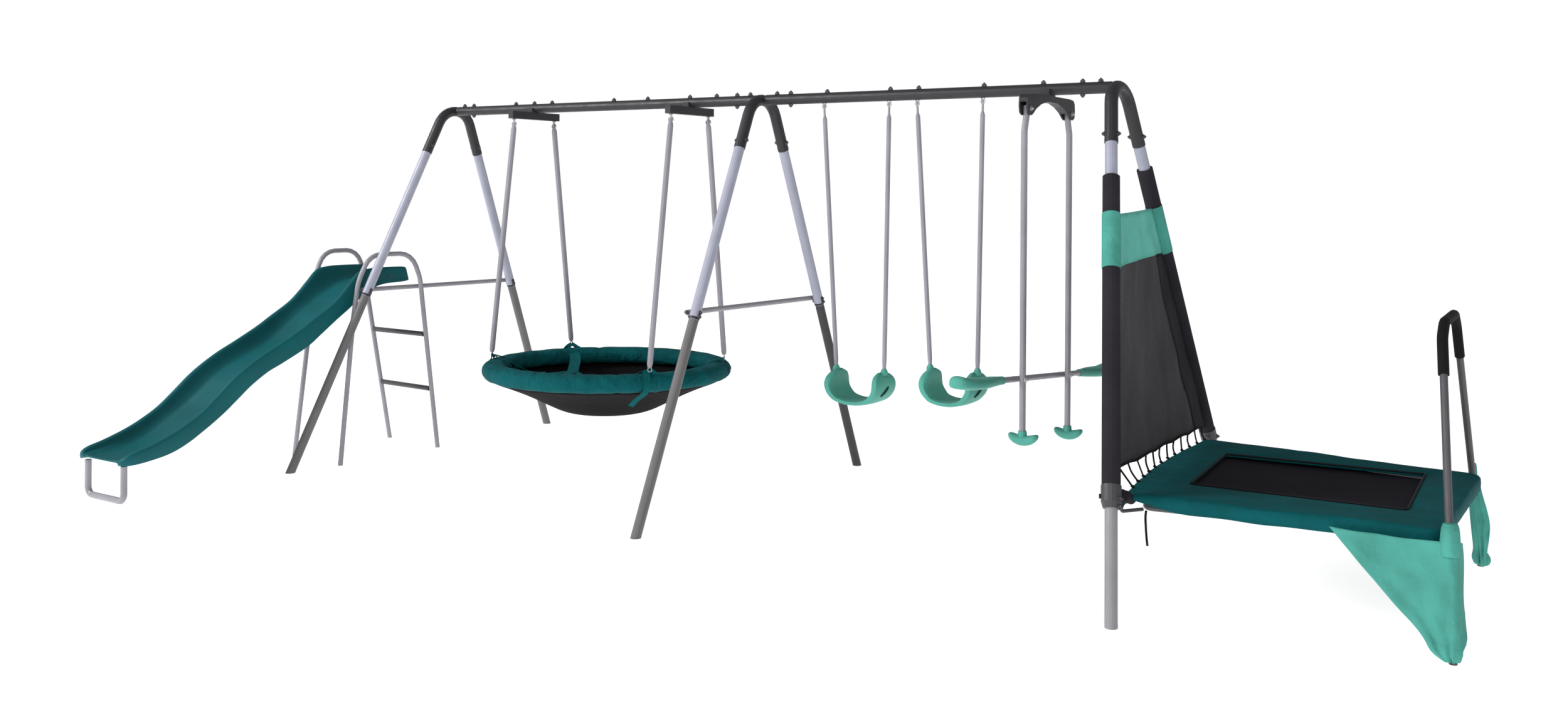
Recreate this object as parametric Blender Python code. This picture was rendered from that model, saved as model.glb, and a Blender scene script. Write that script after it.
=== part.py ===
"""Backyard swing set: saucer swing, two sling swings, glider, trampoline and wave slide.

Metres, +Z up. +X runs along the top beam from the slide to the trampoline, -Y is the side the slide exits on.
Every sub-part is one closed body; pieces that swing sit under an empty on their hinge line.
"""

import math

import bmesh
import bpy
from mathutils import Vector

# ---- driving dimensions -------------------------------------------------------------------------------------------
ORIGIN = (0.207, -0.434)  # middle of the footprint, seen from under the middle apex
BEAM_Z = 1.83  # beam centreline, a 72 in set
FOOT_Y = 0.892  # half the foot spread of an A-frame
LEG_LEAN = 0.444  # sideways run of a leg per metre of height
JOINT_Z = 0.856  # where the lower legs plug into the upper legs
APEX_CAP_Z = 1.605  # lower ends of the bent apex tube
# name: apex x, outward run of the near foot, of the far foot
A_FRAMES = {
    "left": (-2.009, -0.193, -0.152),
    "middle": (0.0, 0.0, 0.0),
    "right": (1.689, 0.303, 0.193),
}
APEX_R, APEX_BORE = 0.0258, 0.0246
UPPER_R, UPPER_BORE = 0.0236, 0.0230 - 0.0002
LOWER_R, LOWER_BORE = 0.0221, 0.0206
BEAM_R, BEAM_BORE = 0.0240, 0.0222
CROSSBAR_Z, CROSSBAR_R = 0.886, 0.0118
TUBE_SIDES = 16

SLIDE_X = (-2.540, -2.176)  # the two outer walls of the chute
HOOP_R = 0.0127
HOOP_LEFT_X = -2.5575
RUNG_Z = (0.626, 0.326)
RUNG_R = 0.0135

SAUCER_X = -0.921
SAUCER_Z = 0.523  # centre of the padded rim
SAUCER_R = 0.552  # centreline radius of the rim
RIM_HALF_W, RIM_HALF_H = 0.058, 0.041
SAUCER_HOOK_Y, SAUCER_HOOK_Z = 0.147, 1.738
SAUCER_EYE_Y, SAUCER_EYE_Z = 0.2925, 0.596
SAUCER_ROPE_X = (-1.427, -0.417)
SAUCER_ROPE_R = 0.0138

SWING_HOOK_Z = 1.785
# hook x left, hook x right, seat lug x left, seat lug x right, lug height
SWINGS = {
    "one": (0.336, 0.666, 0.408, 0.650, 0.626),
    "two": (0.803, 1.109, 0.873, 1.093, 0.662),
}
ROPE_R = 0.0102
SEAT_HALF_Y = 0.090

GLIDER_X = 1.396
GLIDER_PIVOT_Y, GLIDER_PIVOT_Z = 0.215, 1.742
GLIDER_ARM_Y = 0.235
GLIDER_BAR_Z = (0.684, 0.650)  # pivot heights on the bar, near and far
GLIDER_ARM_R, GLIDER_BAR_R = 0.0128, 0.0120
GLIDER_PEG_Z = (0.446, 0.400)  # centres of the pegs
GLIDER_SEAT_Y = (0.375, 0.770)

PAD_Z = 0.366
TRAMP_FRAME_Z, TRAMP_FRAME_R = 0.337, 0.0125
TRAMP_CORNERS = [(2.000, -0.592), (2.880, -0.466), (2.880, 0.462), (1.934, 0.590)]
# pad outline and its opening: x, y, height above the pad's own height
PAD_OUTER = [(1.940, -0.640, 0.018), (2.918, -0.505, 0.004), (2.922, 0.500, 0.006), (1.866, 0.622, 0.010)]
PAD_INNER = [(2.062, -0.270, 0.001), (2.779, -0.256, 0.001), (2.736, 0.438, -0.005), (2.006, 0.402, -0.005)]
SLEEVE_R, SLEEVE_BORE = 0.0323, 0.0246
SLEEVE_Z = {"near": (0.4215, 1.475), "far": (0.4025, 1.513)}
COLLAR_Z = {"near": (0.350, 0.4205), "far": (0.341, 0.4015)}
HANDLE_R = 0.0125

# ---- colours --------------------------------------------------------------------------------------------------------
CHARCOAL = (0.060, 0.058, 0.062)
LAVENDER = (0.330, 0.345, 0.400)
TAUPE = (0.160, 0.150, 0.148)
STEEL = (0.255, 0.250, 0.265)
TEAL = (0.000, 0.110, 0.115)
MINT = (0.075, 0.330, 0.265)
BLACK = (0.020, 0.018, 0.020)


def clear_scene():
    """Remove whatever the file holds."""
    for obj in list(bpy.data.objects):
        bpy.data.objects.remove(obj, do_unlink=True)


def material(name, colour, roughness, metallic=0.0):
    """A Principled material, made once."""
    mat = bpy.data.materials.get(name)
    if mat is None:
        mat = bpy.data.materials.new(name)
        mat.use_nodes = True
        shader = mat.node_tree.nodes["Principled BSDF"]
        shader.inputs["Base Color"].default_value = (*colour, 1.0)
        shader.inputs["Roughness"].default_value = roughness
        shader.inputs["Metallic"].default_value = metallic
    return mat


def add_object(name, verts, faces, mat, origin=(0.0, 0.0, 0.0), parent=None, smooth=True):
    """Make a mesh object from world-space vertices, with its origin at the given point."""
    mesh = bpy.data.meshes.new(name)
    base = Vector(origin)
    mesh.from_pydata([Vector(v) - base for v in verts], [], faces)
    bm = bmesh.new()
    bm.from_mesh(mesh)
    bmesh.ops.remove_doubles(bm, verts=bm.verts, dist=1e-6)
    bmesh.ops.recalc_face_normals(bm, faces=bm.faces)
    bm.to_mesh(mesh)
    bm.free()
    mesh.materials.append(mat)
    if smooth:
        mesh.shade_smooth()
        mesh.set_sharp_from_angle(angle=math.radians(40))
    obj = bpy.data.objects.new(name, mesh)
    bpy.context.scene.collection.objects.link(obj)
    if parent is not None:
        obj.parent = parent
        obj.location = base - parent.matrix_world.translation
    else:
        obj.location = base
    return obj


def pivot(name, point, parent=None):
    """An empty on a hinge line."""
    empty = bpy.data.objects.new(name, None)
    empty.empty_display_size = 0.08
    bpy.context.scene.collection.objects.link(empty)
    if parent is not None:
        empty.parent = parent
        empty.location = Vector(point) - parent.matrix_world.translation
    else:
        empty.location = point
    bpy.context.view_layer.update()
    return empty


def fillet(points, radius, segments=5):
    """A polyline with its inner corners rounded; radius may be one number or one per inner corner."""
    points = [Vector(p) for p in points]
    radii = [radius] * (len(points) - 2) if isinstance(radius, (int, float)) else list(radius)
    out = [points[0]]
    for i in range(1, len(points) - 1):
        here = points[i]
        a = (points[i - 1] - here).normalized()
        b = (points[i + 1] - here).normalized()
        half = math.acos(max(-1.0, min(1.0, a.dot(b)))) / 2
        reach = radii[i - 1] / math.tan(half)
        centre = here + (a + b).normalized() * (radii[i - 1] / math.sin(half))
        start = (here + a * reach - centre).normalized()
        end = (here + b * reach - centre).normalized()
        for k in range(segments + 1):
            out.append(centre + start.slerp(end, k / segments) * radii[i - 1])
    out.append(points[-1])
    return out


def rings_along(path, radius, sides):
    """Circles of points square to a path, carried along it without twisting."""
    path = [Vector(p) for p in path]
    rings = []
    normal = None
    for i, point in enumerate(path):
        ahead = (path[min(i + 1, len(path) - 1)] - point).normalized()
        behind = (point - path[max(i - 1, 0)]).normalized()
        tangent = (ahead + behind).normalized()
        if normal is None:
            helper = Vector((0, 0, 1)) if abs(tangent.z) < 0.9 else Vector((1, 0, 0))
            normal = tangent.cross(helper).normalized()
        normal = (normal - tangent * normal.dot(tangent)).normalized()
        other = tangent.cross(normal)
        r = radius[i] if isinstance(radius, (list, tuple)) else radius
        ring = []
        for k in range(sides):
            angle = 2 * math.pi * k / sides
            ring.append(point + normal * (r * math.cos(angle)) + other * (r * math.sin(angle)))
        rings.append(ring)
    return rings


def level_end(ring, tangent, height):
    """Slide a ring's points along the tube so that they all lie at one height."""
    return [p + tangent * ((height - p.z) / tangent.z) for p in ring]


def tube_mesh(path, radius, bore=0.0, sides=TUBE_SIDES, level=None):
    """Vertices and faces of a round tube or bar along a path. level cuts its last end at that height."""
    outer = rings_along(path, radius, sides)
    inner = rings_along(path, bore, sides) if bore else None
    if level is not None:
        tangent = (Vector(path[-1]) - Vector(path[-2])).normalized()
        outer[-1] = level_end(outer[-1], tangent, level)
        if inner:
            inner[-1] = level_end(inner[-1], tangent, level)
    verts = [p for ring in outer for p in ring]
    faces = []
    last = len(outer) - 1

    def wall(base, flip):
        for i in range(last):
            for k in range(sides):
                a = base + i * sides + k
                b = base + i * sides + (k + 1) % sides
                quad = (a, b, b + sides, a + sides)
                faces.append(quad[::-1] if flip else quad)

    wall(0, False)
    if inner:
        offset = len(verts)
        verts += [p for ring in inner for p in ring]
        wall(offset, True)
        for row in (0, last * sides):
            for k in range(sides):
                n = (k + 1) % sides
                faces.append((row + k, row + n, offset + row + n, offset + row + k))
    else:
        faces.append(tuple(range(sides)))
        faces.append(tuple(last * sides + k for k in range(sides)))
    return verts, faces


def tube(name, path, radius, mat, bore=0.0, sides=TUBE_SIDES, level=None, origin=None, parent=None):
    """A round tube or bar as an object."""
    verts, faces = tube_mesh(path, radius, bore, sides, level)
    return add_object(name, verts, faces, mat, origin or path[0], parent)


def ring_loft(name, sections, mat, origin, parent=None):
    """Join closed cross-sections of equal length into one capped body."""
    count = len(sections[0])
    verts = [p for section in sections for p in section]
    faces = []
    for i in range(len(sections) - 1):
        for k in range(count):
            a = i * count + k
            b = i * count + (k + 1) % count
            faces.append((a, b, b + count, a + count))
    faces.append(tuple(range(count)))
    faces.append(tuple((len(sections) - 1) * count + k for k in range(count)))
    return add_object(name, verts, faces, mat, origin, parent)


def loop_loft(name, sections, mat, origin, parent=None):
    """Closed cross-sections joined round a closed loop, such as a padded rim."""
    count = len(sections[0])
    verts = [p for section in sections for p in section]
    faces = []
    total = len(sections)
    for i in range(total):
        for k in range(count):
            a = i * count + k
            b = i * count + (k + 1) % count
            c = ((i + 1) % total) * count + (k + 1) % count
            d = ((i + 1) % total) * count + k
            faces.append((a, b, c, d))
    return add_object(name, verts, faces, mat, origin, parent)


def thick_sheet(name, rows, thickness, mat, origin, parent=None):
    """A grid of points thickened to a closed sheet; thickness may be one number or one per row."""
    height, width = len(rows), len(rows[0])
    grid = [[Vector(p) for p in row] for row in rows]

    def normal(i, j):
        up = grid[min(i + 1, height - 1)][j] - grid[max(i - 1, 0)][j]
        across = grid[i][min(j + 1, width - 1)] - grid[i][max(j - 1, 0)]
        return up.cross(across).normalized()

    top, bottom = [], []
    for i in range(height):
        t = thickness[i] if isinstance(thickness, (list, tuple)) else thickness
        for j in range(width):
            n = normal(i, j) * (t / 2)
            top.append(grid[i][j] + n)
            bottom.append(grid[i][j] - n)
    verts = top + bottom
    low = len(top)
    faces = []
    for i in range(height - 1):
        for j in range(width - 1):
            a = i * width + j
            faces.append((a, a + 1, a + width + 1, a + width))
            faces.append((low + a, low + a + width, low + a + width + 1, low + a + 1))
    edge = [j for j in range(width)]
    edge += [i * width + width - 1 for i in range(1, height)]
    edge += [(height - 1) * width + j for j in range(width - 2, -1, -1)]
    edge += [i * width for i in range(height - 2, 0, -1)]
    for k, a in enumerate(edge):
        b = edge[(k + 1) % len(edge)]
        faces.append((a, low + a, low + b, b))
    return add_object(name, verts, faces, mat, origin, parent)


def lathe(name, profile, segments, centre, mat, parent=None):
    """Turn a profile of (radius, height) round a vertical line; its ends lie on the line."""
    verts = [Vector((centre[0], centre[1], profile[0][1]))]
    faces = []
    inner = profile[1:-1]
    for r, z in inner:
        for k in range(segments):
            angle = 2 * math.pi * k / segments
            verts.append(Vector((centre[0] + r * math.cos(angle), centre[1] + r * math.sin(angle), z)))
    verts.append(Vector((centre[0], centre[1], profile[-1][1])))
    end = len(verts) - 1
    for k in range(segments):
        n = (k + 1) % segments
        faces.append((0, 1 + k, 1 + n))
        faces.append((end, end - segments + n, end - segments + k))
        for i in range(len(inner) - 1):
            a = 1 + i * segments
            faces.append((a + k, a + segments + k, a + segments + n, a + n))
    return add_object(name, verts, faces, mat, centre, parent)


def combine(target, other, operation):
    """Boolean two objects and drop the second."""
    mod = target.modifiers.new(operation.lower(), "BOOLEAN")
    mod.operation = operation
    mod.solver = "EXACT"
    mod.object = other
    bpy.context.view_layer.update()
    shape = target.evaluated_get(bpy.context.evaluated_depsgraph_get())
    mesh = bpy.data.meshes.new_from_object(shape)
    target.modifiers.clear()
    target.data = mesh
    bpy.data.objects.remove(other, do_unlink=True)
    bm = bmesh.new()
    bm.from_mesh(mesh)
    bmesh.ops.remove_doubles(bm, verts=bm.verts, dist=1e-5)
    bmesh.ops.dissolve_degenerate(bm, edges=bm.edges, dist=1e-5)
    bmesh.ops.triangulate(bm, faces=bm.faces)
    bm.to_mesh(mesh)
    bm.free()
    mesh.set_sharp_from_angle(angle=math.radians(40))
    return target


def block(name, low, high, mat, origin=None, parent=None):
    """An upright box."""
    x0, y0, z0 = low
    x1, y1, z1 = high
    verts = [(x, y, z) for x in (x0, x1) for y in (y0, y1) for z in (z0, z1)]
    faces = [(0, 1, 3, 2), (4, 6, 7, 5), (0, 4, 5, 1), (2, 3, 7, 6), (0, 2, 6, 4), (1, 5, 7, 3)]
    return add_object(name, verts, faces, mat, origin or low, parent)


# ---- the A-frames and the beam ------------------------------------------------------------------------------------
def leg_point(frame, side, z):
    """Centre of a leg at a height. side is -1 for near, +1 for far."""
    x, run_near, run_far = A_FRAMES[frame]
    run = run_near if side < 0 else run_far
    return Vector((x + run * (1 - z / BEAM_Z), side * (FOOT_Y - LEG_LEAN * z), z))


def build_frames(paint_dark, paint_light, paint_taupe, paint_steel):
    """Three A-frames, each a bent apex, two upper legs and two lower legs."""
    for frame in A_FRAMES:
        x = A_FRAMES[frame][0]
        corner = [leg_point(frame, side, BEAM_Z) for side in (-1, 1)]
        path = [leg_point(frame, -1, APEX_CAP_Z), corner[0], corner[1], leg_point(frame, 1, APEX_CAP_Z)]
        apex = tube(
            f"apex_{frame}", fillet(path, 0.118, 6), APEX_R, paint_dark, APEX_BORE, origin=(x, 0, BEAM_Z)
        )
        reach_left = 0.11 if frame != "left" else 0.006
        reach_right = 0.11 if frame != "right" else 0.006
        stub = tube(
            "stub",
            [(x - reach_left, 0, BEAM_Z), (x + reach_right, 0, BEAM_Z)],
            BEAM_BORE - 0.0008,
            paint_dark,
        )
        combine(apex, stub, "UNION")
        for side, word in ((-1, "near"), (1, "far")):
            top = [leg_point(frame, side, z) for z in (APEX_CAP_Z + 0.055, JOINT_Z)]
            tube(f"upper_leg_{frame}_{word}", top, UPPER_R, paint_light, UPPER_BORE)
            low = [leg_point(frame, side, z) for z in (JOINT_Z + 0.050, 0.0)]
            tube(f"lower_leg_{frame}_{word}", low, LOWER_R, paint_taupe, LOWER_BORE, level=0.0)
    gap = APEX_R + 0.0005
    xs = [A_FRAMES[f][0] for f in ("left", "middle", "right")]
    for name, x0, x1 in (("beam_left", xs[0], xs[1]), ("beam_right", xs[1], xs[2])):
        path = [(x0 + gap, 0, BEAM_Z), (x1 - gap, 0, BEAM_Z)]
        tube(name, path, BEAM_R, paint_dark, BEAM_BORE)
    for frame in ("left", "middle"):
        back = UPPER_R + CROSSBAR_R + 0.0016
        ends = []
        for side in (-1, 1):
            point = leg_point(frame, side, CROSSBAR_Z) + Vector((-back, side * (0.010 if side < 0 else 0.030), 0))
            ends.append(point)
        tube(f"crossbar_{frame}", ends, CROSSBAR_R, paint_steel, CROSSBAR_R - 0.0012, sides=12)


# ---- the slide ----------------------------------------------------------------------------------------------------
# y, height of the rim, height of the wall's lower edge
SLIDE_PROFILE = [
    (-0.186, 0.984, 0.920),
    (-0.205, 0.993, 0.911),
    (-0.330, 0.995, 0.905),
    (-0.425, 0.992, 0.885),
    (-0.495, 0.975, 0.852),
    (-0.555, 0.918, 0.815),
    (-0.615, 0.858, 0.770),
    (-0.672, 0.812, 0.730),
    (-0.774, 0.752, 0.660),
    (-0.859, 0.702, 0.604),
    (-0.982, 0.640, 0.546),
    (-1.075, 0.596, 0.506),
    (-1.167, 0.543, 0.452),
    (-1.240, 0.492, 0.398),
    (-1.320, 0.424, 0.335),
    (-1.400, 0.361, 0.280),
    (-1.491, 0.310, 0.227),
    (-1.570, 0.276, 0.195),
    (-1.660, 0.246, 0.179),
    (-1.730, 0.228, 0.174),
    (-1.772, 0.212, 0.178),
    (-1.784, 0.200, 0.184),
]


def build_slide(teal, paint_steel, paint_dark):
    """Wavy chute, its exit foot, two hoops that are ladder stile, rail and support in one, and two rungs."""
    left, right = SLIDE_X
    sections = []
    for i, (y, rim, low) in enumerate(SLIDE_PROFILE):
        ahead = SLIDE_PROFILE[min(i + 1, len(SLIDE_PROFILE) - 1)]
        back = SLIDE_PROFILE[max(i - 1, 0)]
        slope = (ahead[2] - back[2]) / (ahead[0] - back[0])
        height = rim - low
        floor = low + 0.020 * min(1.0, height / 0.06)
        round_in = 0.020 if i in (0, len(SLIDE_PROFILE) - 1) else (0.008 if i == len(SLIDE_PROFILE) - 2 else 0.0)
        half = [
            (0.000 + round_in, 0.0),
            (0.000 + round_in, height * 0.86),
            (0.007 + round_in, height),
            (0.020 + round_in, height * 0.99),
            (0.029 + round_in, height * 0.84),
            (0.042 + round_in, (floor - low) + height * 0.16),
            (0.062 + round_in, floor - low),
        ]
        outline = [(right - dx, dz) for dx, dz in half]
        outline += [(left + dx, dz) for dx, dz in reversed(half)]
        under = floor - low - 0.006
        outline += [(left + 0.013 + round_in, 0.0), (left + 0.030 + round_in, under)]
        outline += [(right - 0.030 - round_in, under), (right - 0.013 - round_in, 0.0)]
        tilt = math.atan(slope) * (0.55 if 0 < i < len(SLIDE_PROFILE) - 3 else 0.0)
        section = []
        for x, dz in outline:
            lift = dz - height
            section.append(Vector((x, y - math.sin(tilt) * lift, rim + lift)))
        sections.append(section)
    ring_loft("slide_bed", sections, teal, (left, -0.19, 0.9))

    foot = [(-2.500, -1.746, 0.172), (-2.500, -1.746, 0.0155), (-2.216, -1.746, 0.0155), (-2.216, -1.746, 0.172)]
    tube("slide_foot", fillet(foot, 0.034, 5), 0.0148, paint_steel, 0.0130, sides=12)

    hoops = {
        "outer": [
            (HOOP_LEFT_X, -0.600, 0.0),
            (HOOP_LEFT_X, -0.478, 0.930),
            (HOOP_LEFT_X, -0.430, 1.071),
            (HOOP_LEFT_X, -0.205, 1.071),
            (HOOP_LEFT_X, -0.150, 0.930),
            (HOOP_LEFT_X, 0.034, 0.0),
        ],
        "inner": [
            (-2.1500, -0.632, 0.0),
            (-2.1580, -0.551, 0.740),
            (-2.1580, -0.521, 0.930),
            (-2.1480, -0.455, 1.066),
            (-2.1150, -0.205, 1.066),
            (-2.1000, -0.160, 0.930),
            (-2.1210, -0.010, 0.0),
        ],
    }
    for word, points in hoops.items():
        bends = [0.30, 0.105, 0.105, 0.30]
        path = fillet(points, bends if len(points) == 6 else [0.60] + bends, 4)
        verts, faces = tube_mesh(path, HOOP_R, HOOP_R - 0.0014, 12)
        for index, (_x, y, z) in enumerate(verts):
            if z < 0.02:
                verts[index].z = 0.0
        add_object(f"slide_hoop_{word}", verts, faces, paint_steel, points[0])
    for word, z in zip(("upper", "lower"), RUNG_Z):
        share = z / 0.930
        a = Vector(hoops["outer"][-1]).lerp(Vector(hoops["outer"][-2]), share)
        b = Vector(hoops["inner"][-1]).lerp(Vector(hoops["inner"][-2]), share)
        along = (b - a).normalized() * (HOOP_R + 0.0006)
        tube(f"slide_rung_{word}", [a + along, b - along], RUNG_R, paint_dark, RUNG_R - 0.0014, sides=12)


# ---- the saucer swing ---------------------------------------------------------------------------------------------
def bar_bracket(name, x, half_y, low, high, half_x, mat):
    """A crossbar under the beam with a saddle that cups the beam's lower half."""
    body = block(name, (x - half_x, -half_y, low), (x + half_x, half_y, high), mat, origin=(x, 0, BEAM_Z))
    saddle = block("saddle", (x - half_x, -0.034, high - 0.004), (x + half_x, 0.034, BEAM_Z + 0.002), mat)
    combine(body, saddle, "UNION")
    path = [(x - half_x - 0.01, 0, BEAM_Z), (x + half_x + 0.01, 0, BEAM_Z)]
    cutter = tube("cutter", path, BEAM_R + 0.0006, mat, sides=24)
    return combine(body, cutter, "DIFFERENCE")


def build_saucer(paint_dark, grey_sleeve, teal_fabric, black_fabric, paint_steel):
    """Padded ring with a fabric bowl on four ropes from two crossbars."""
    for word, x in zip(("left", "right"), SAUCER_ROPE_X):
        bar_bracket(f"saucer_bracket_{word}", x, 0.172, 1.772, BEAM_Z - 0.020, 0.016, paint_dark)
    hinges = {}
    for side, word in ((-1, "near"), (1, "far")):
        point = (SAUCER_X, side * SAUCER_HOOK_Y, SAUCER_HOOK_Z)
        hinges[word] = pivot(f"saucer_{word}_hinge", point)
        for x, end in zip(SAUCER_ROPE_X, ("left", "right")):
            top = Vector((x, side * SAUCER_HOOK_Y, SAUCER_HOOK_Z))
            low = Vector((x, side * SAUCER_EYE_Y, SAUCER_EYE_Z))
            if side > 0:
                low = low - (low - top).normalized() * 0.004
            start = top + (top - low).normalized() * 0.022
            path = [start, top, top.lerp(low, 0.010), top.lerp(low, 0.020), top.lerp(low, 0.985), low]
            radius = [0.0050, 0.0080, 0.0120, SAUCER_ROPE_R, SAUCER_ROPE_R, 0.0100]
            tube(
                f"saucer_rope_{end}_{word}", path, radius, grey_sleeve, sides=10, origin=top, parent=hinges[word]
            )
    seat = pivot("saucer_tilt", (SAUCER_X, -SAUCER_EYE_Y, SAUCER_EYE_Z), hinges["near"])
    around = 40
    sections = []
    for i in range(around):
        angle = 2 * math.pi * i / around
        out = Vector((math.cos(angle), math.sin(angle), 0))
        centre = Vector((SAUCER_X, 0, SAUCER_Z)) + out * SAUCER_R
        section = []
        for k in range(12):
            a = 2 * math.pi * k / 12
            section.append(centre + out * (RIM_HALF_W * math.cos(a)) + Vector((0, 0, RIM_HALF_H * math.sin(a))))
        sections.append(section)
    loop_loft("saucer_rim_pad", sections, teal_fabric, (SAUCER_X, 0, SAUCER_Z), seat)
    inside = [(0.0, 0.214), (0.150, 0.210), (0.225, 0.196), (0.300, 0.162), (0.400, 0.112), (0.500, 0.066), (0.562, 0.046)]
    profile = [(r, SAUCER_Z - drop) for r, drop in inside]
    profile += [(r, SAUCER_Z - drop - 0.004) for r, drop in reversed(inside)]
    lathe("saucer_bowl", profile, 32, (SAUCER_X, 0, SAUCER_Z), black_fabric, seat)


# ---- the sling swings ---------------------------------------------------------------------------------------------
def build_sling(word, grey_sleeve, mint_plastic):
    """Two sleeved ropes and a moulded belt seat."""
    hook_l, hook_r, lug_l, lug_r, lug_z = SWINGS[word]
    mid = (lug_l + lug_r) / 2
    hinge = pivot(f"sling_{word}_hinge", (mid, 0, SWING_HOOK_Z))
    for side, hook, lug in (("left", hook_l, lug_l), ("right", hook_r, lug_r)):
        top = Vector((hook, 0, SWING_HOOK_Z))
        low = Vector((lug, 0, lug_z + 0.013))
        start = top + (top - low).normalized() * 0.012
        path = [start, top.lerp(low, 0.03), top.lerp(low, 0.045), top.lerp(low, 0.5), top.lerp(low, 0.97), low]
        radius = [0.0050, 0.0050, ROPE_R, ROPE_R, ROPE_R, 0.0080]
        tube(f"sling_rope_{word}_{side}", path, radius, grey_sleeve, sides=10, origin=top, parent=hinge)
    # belt from the left lug, out and under, to the right lug: x share, drop below the lug, half width, thickness
    half = (lug_r - lug_l) / 2
    side_path = [
        (half - 0.014, 0.010, 0.034, 0.022),
        (half - 0.010, 0.022, 0.066, 0.028),
        (half - 0.004, 0.042, 0.086, 0.030),
        (half - 0.002, 0.064, SEAT_HALF_Y, 0.029),
        (half - 0.008, 0.088, SEAT_HALF_Y, 0.027),
        (half - 0.024, 0.110, SEAT_HALF_Y, 0.024),
        (half * 0.62, 0.126, SEAT_HALF_Y, 0.021),
        (half * 0.34, 0.135, SEAT_HALF_Y, 0.018),
    ]
    left_half = [(mid - dx, lug_z - dz, w, t) for dx, dz, w, t in side_path]
    right_half = [(mid + dx, lug_z - dz, w, t) for dx, dz, w, t in reversed(side_path)]
    stations = left_half + [(mid, lug_z - 0.138, SEAT_HALF_Y, 0.018)] + right_half
    rows = []
    for x, z, w, _t in stations:
        rows.append([(x, w * share, z + 0.004 * share * share) for share in (-1.0, -0.5, 0.0, 0.5, 1.0)])
    thick_sheet(
        f"sling_seat_{word}", rows, [s[3] for s in stations], mint_plastic, (mid, 0, lug_z - 0.13), hinge
    )


# ---- the glider ---------------------------------------------------------------------------------------------------
def bar_height(y):
    """Height of the glider bar's centre; it hangs a little low on the far side."""
    near, far = GLIDER_BAR_Z
    return near + (far - near) * (y + GLIDER_ARM_Y) / (2 * GLIDER_ARM_Y)


def build_glider(paint_dark, paint_steel, mint_plastic):
    """Two arms on an arch bracket, a bar between them, a saddle at each end and a peg under each arm."""
    x = GLIDER_X
    outline = [
        (-0.245, 1.726), (-0.228, 1.716), (-0.206, 1.716), (-0.190, 1.724), (-0.160, 1.744), (-0.110, 1.764),
        (-0.050, 1.777), (0.050, 1.777), (0.110, 1.764), (0.160, 1.744), (0.190, 1.724), (0.206, 1.716),
        (0.228, 1.716), (0.245, 1.726), (0.250, 1.752), (0.247, 1.784), (0.232, 1.798), (0.190, 1.802),
        (0.034, 1.803), (0.034, 1.832), (-0.034, 1.832), (-0.034, 1.803), (-0.190, 1.802), (-0.232, 1.798),
        (-0.247, 1.784), (-0.250, 1.752),
    ]
    sections = [[Vector((x + dx, y, z)) for y, z in outline] for dx in (-0.0185, 0.0185)]
    bracket = ring_loft("glider_bracket", sections, paint_dark, (x, 0, BEAM_Z))
    path = [(x - 0.05, 0, BEAM_Z), (x + 0.05, 0, BEAM_Z)]
    combine(bracket, tube("cutter", path, BEAM_R + 0.0006, paint_dark, sides=24), "DIFFERENCE")
    for side in (-1, 1):
        slot = block(
            "slot", (x - 0.0132, side * 0.2150 - 0.048, 1.69), (x + 0.0132, side * 0.2150 + 0.048, 1.768), paint_dark
        )
        combine(bracket, slot, "DIFFERENCE")
    hinges = {}
    for side, word, bar_z, peg_z in (
        (-1, "near", GLIDER_BAR_Z[0], GLIDER_PEG_Z[0]),
        (1, "far", GLIDER_BAR_Z[1], GLIDER_PEG_Z[1]),
    ):
        top = (x, side * GLIDER_PIVOT_Y, GLIDER_PIVOT_Z)
        hinges[word] = pivot(f"glider_{word}_hinge", top)
        points = [
            (x, side * (GLIDER_PIVOT_Y - 0.002), GLIDER_PIVOT_Z + 0.012),
            (x, side * GLIDER_PIVOT_Y, 1.716),
            (x, side * GLIDER_ARM_Y, 1.655),
            (x, side * GLIDER_ARM_Y, peg_z + 0.0195),
        ]
        arm_x = x
        tube(
            f"glider_arm_{word}", [Vector((arm_x, p[1], p[2])) for p in fillet(points, [0.05, 0.05], 3)],
            GLIDER_ARM_R, paint_steel, GLIDER_ARM_R - 0.0016, sides=12, origin=top, parent=hinges[word],
        )
        # winged peg: a crescent that rises to both tips
        rows = []
        for k in range(9):
            share = -1 + k / 4
            px = x + 0.004 + 0.058 * share
            pz = peg_z + 0.017 * share * share
            half_h = 0.0185 * (1 - 0.55 * share * share)
            half_y = 0.024 * (1 - 0.30 * share * share)
            centre = Vector((px, side * GLIDER_ARM_Y, pz))
            ring = []
            for i in range(10):
                a = 2 * math.pi * i / 10
                ring.append(centre + Vector((0, half_y * math.cos(a), half_h * math.sin(a))))
            rows.append(ring)
        ring_loft(f"glider_peg_{word}", rows, mint_plastic, (x, side * GLIDER_ARM_Y, peg_z), hinges[word])
    return hinges


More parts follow.
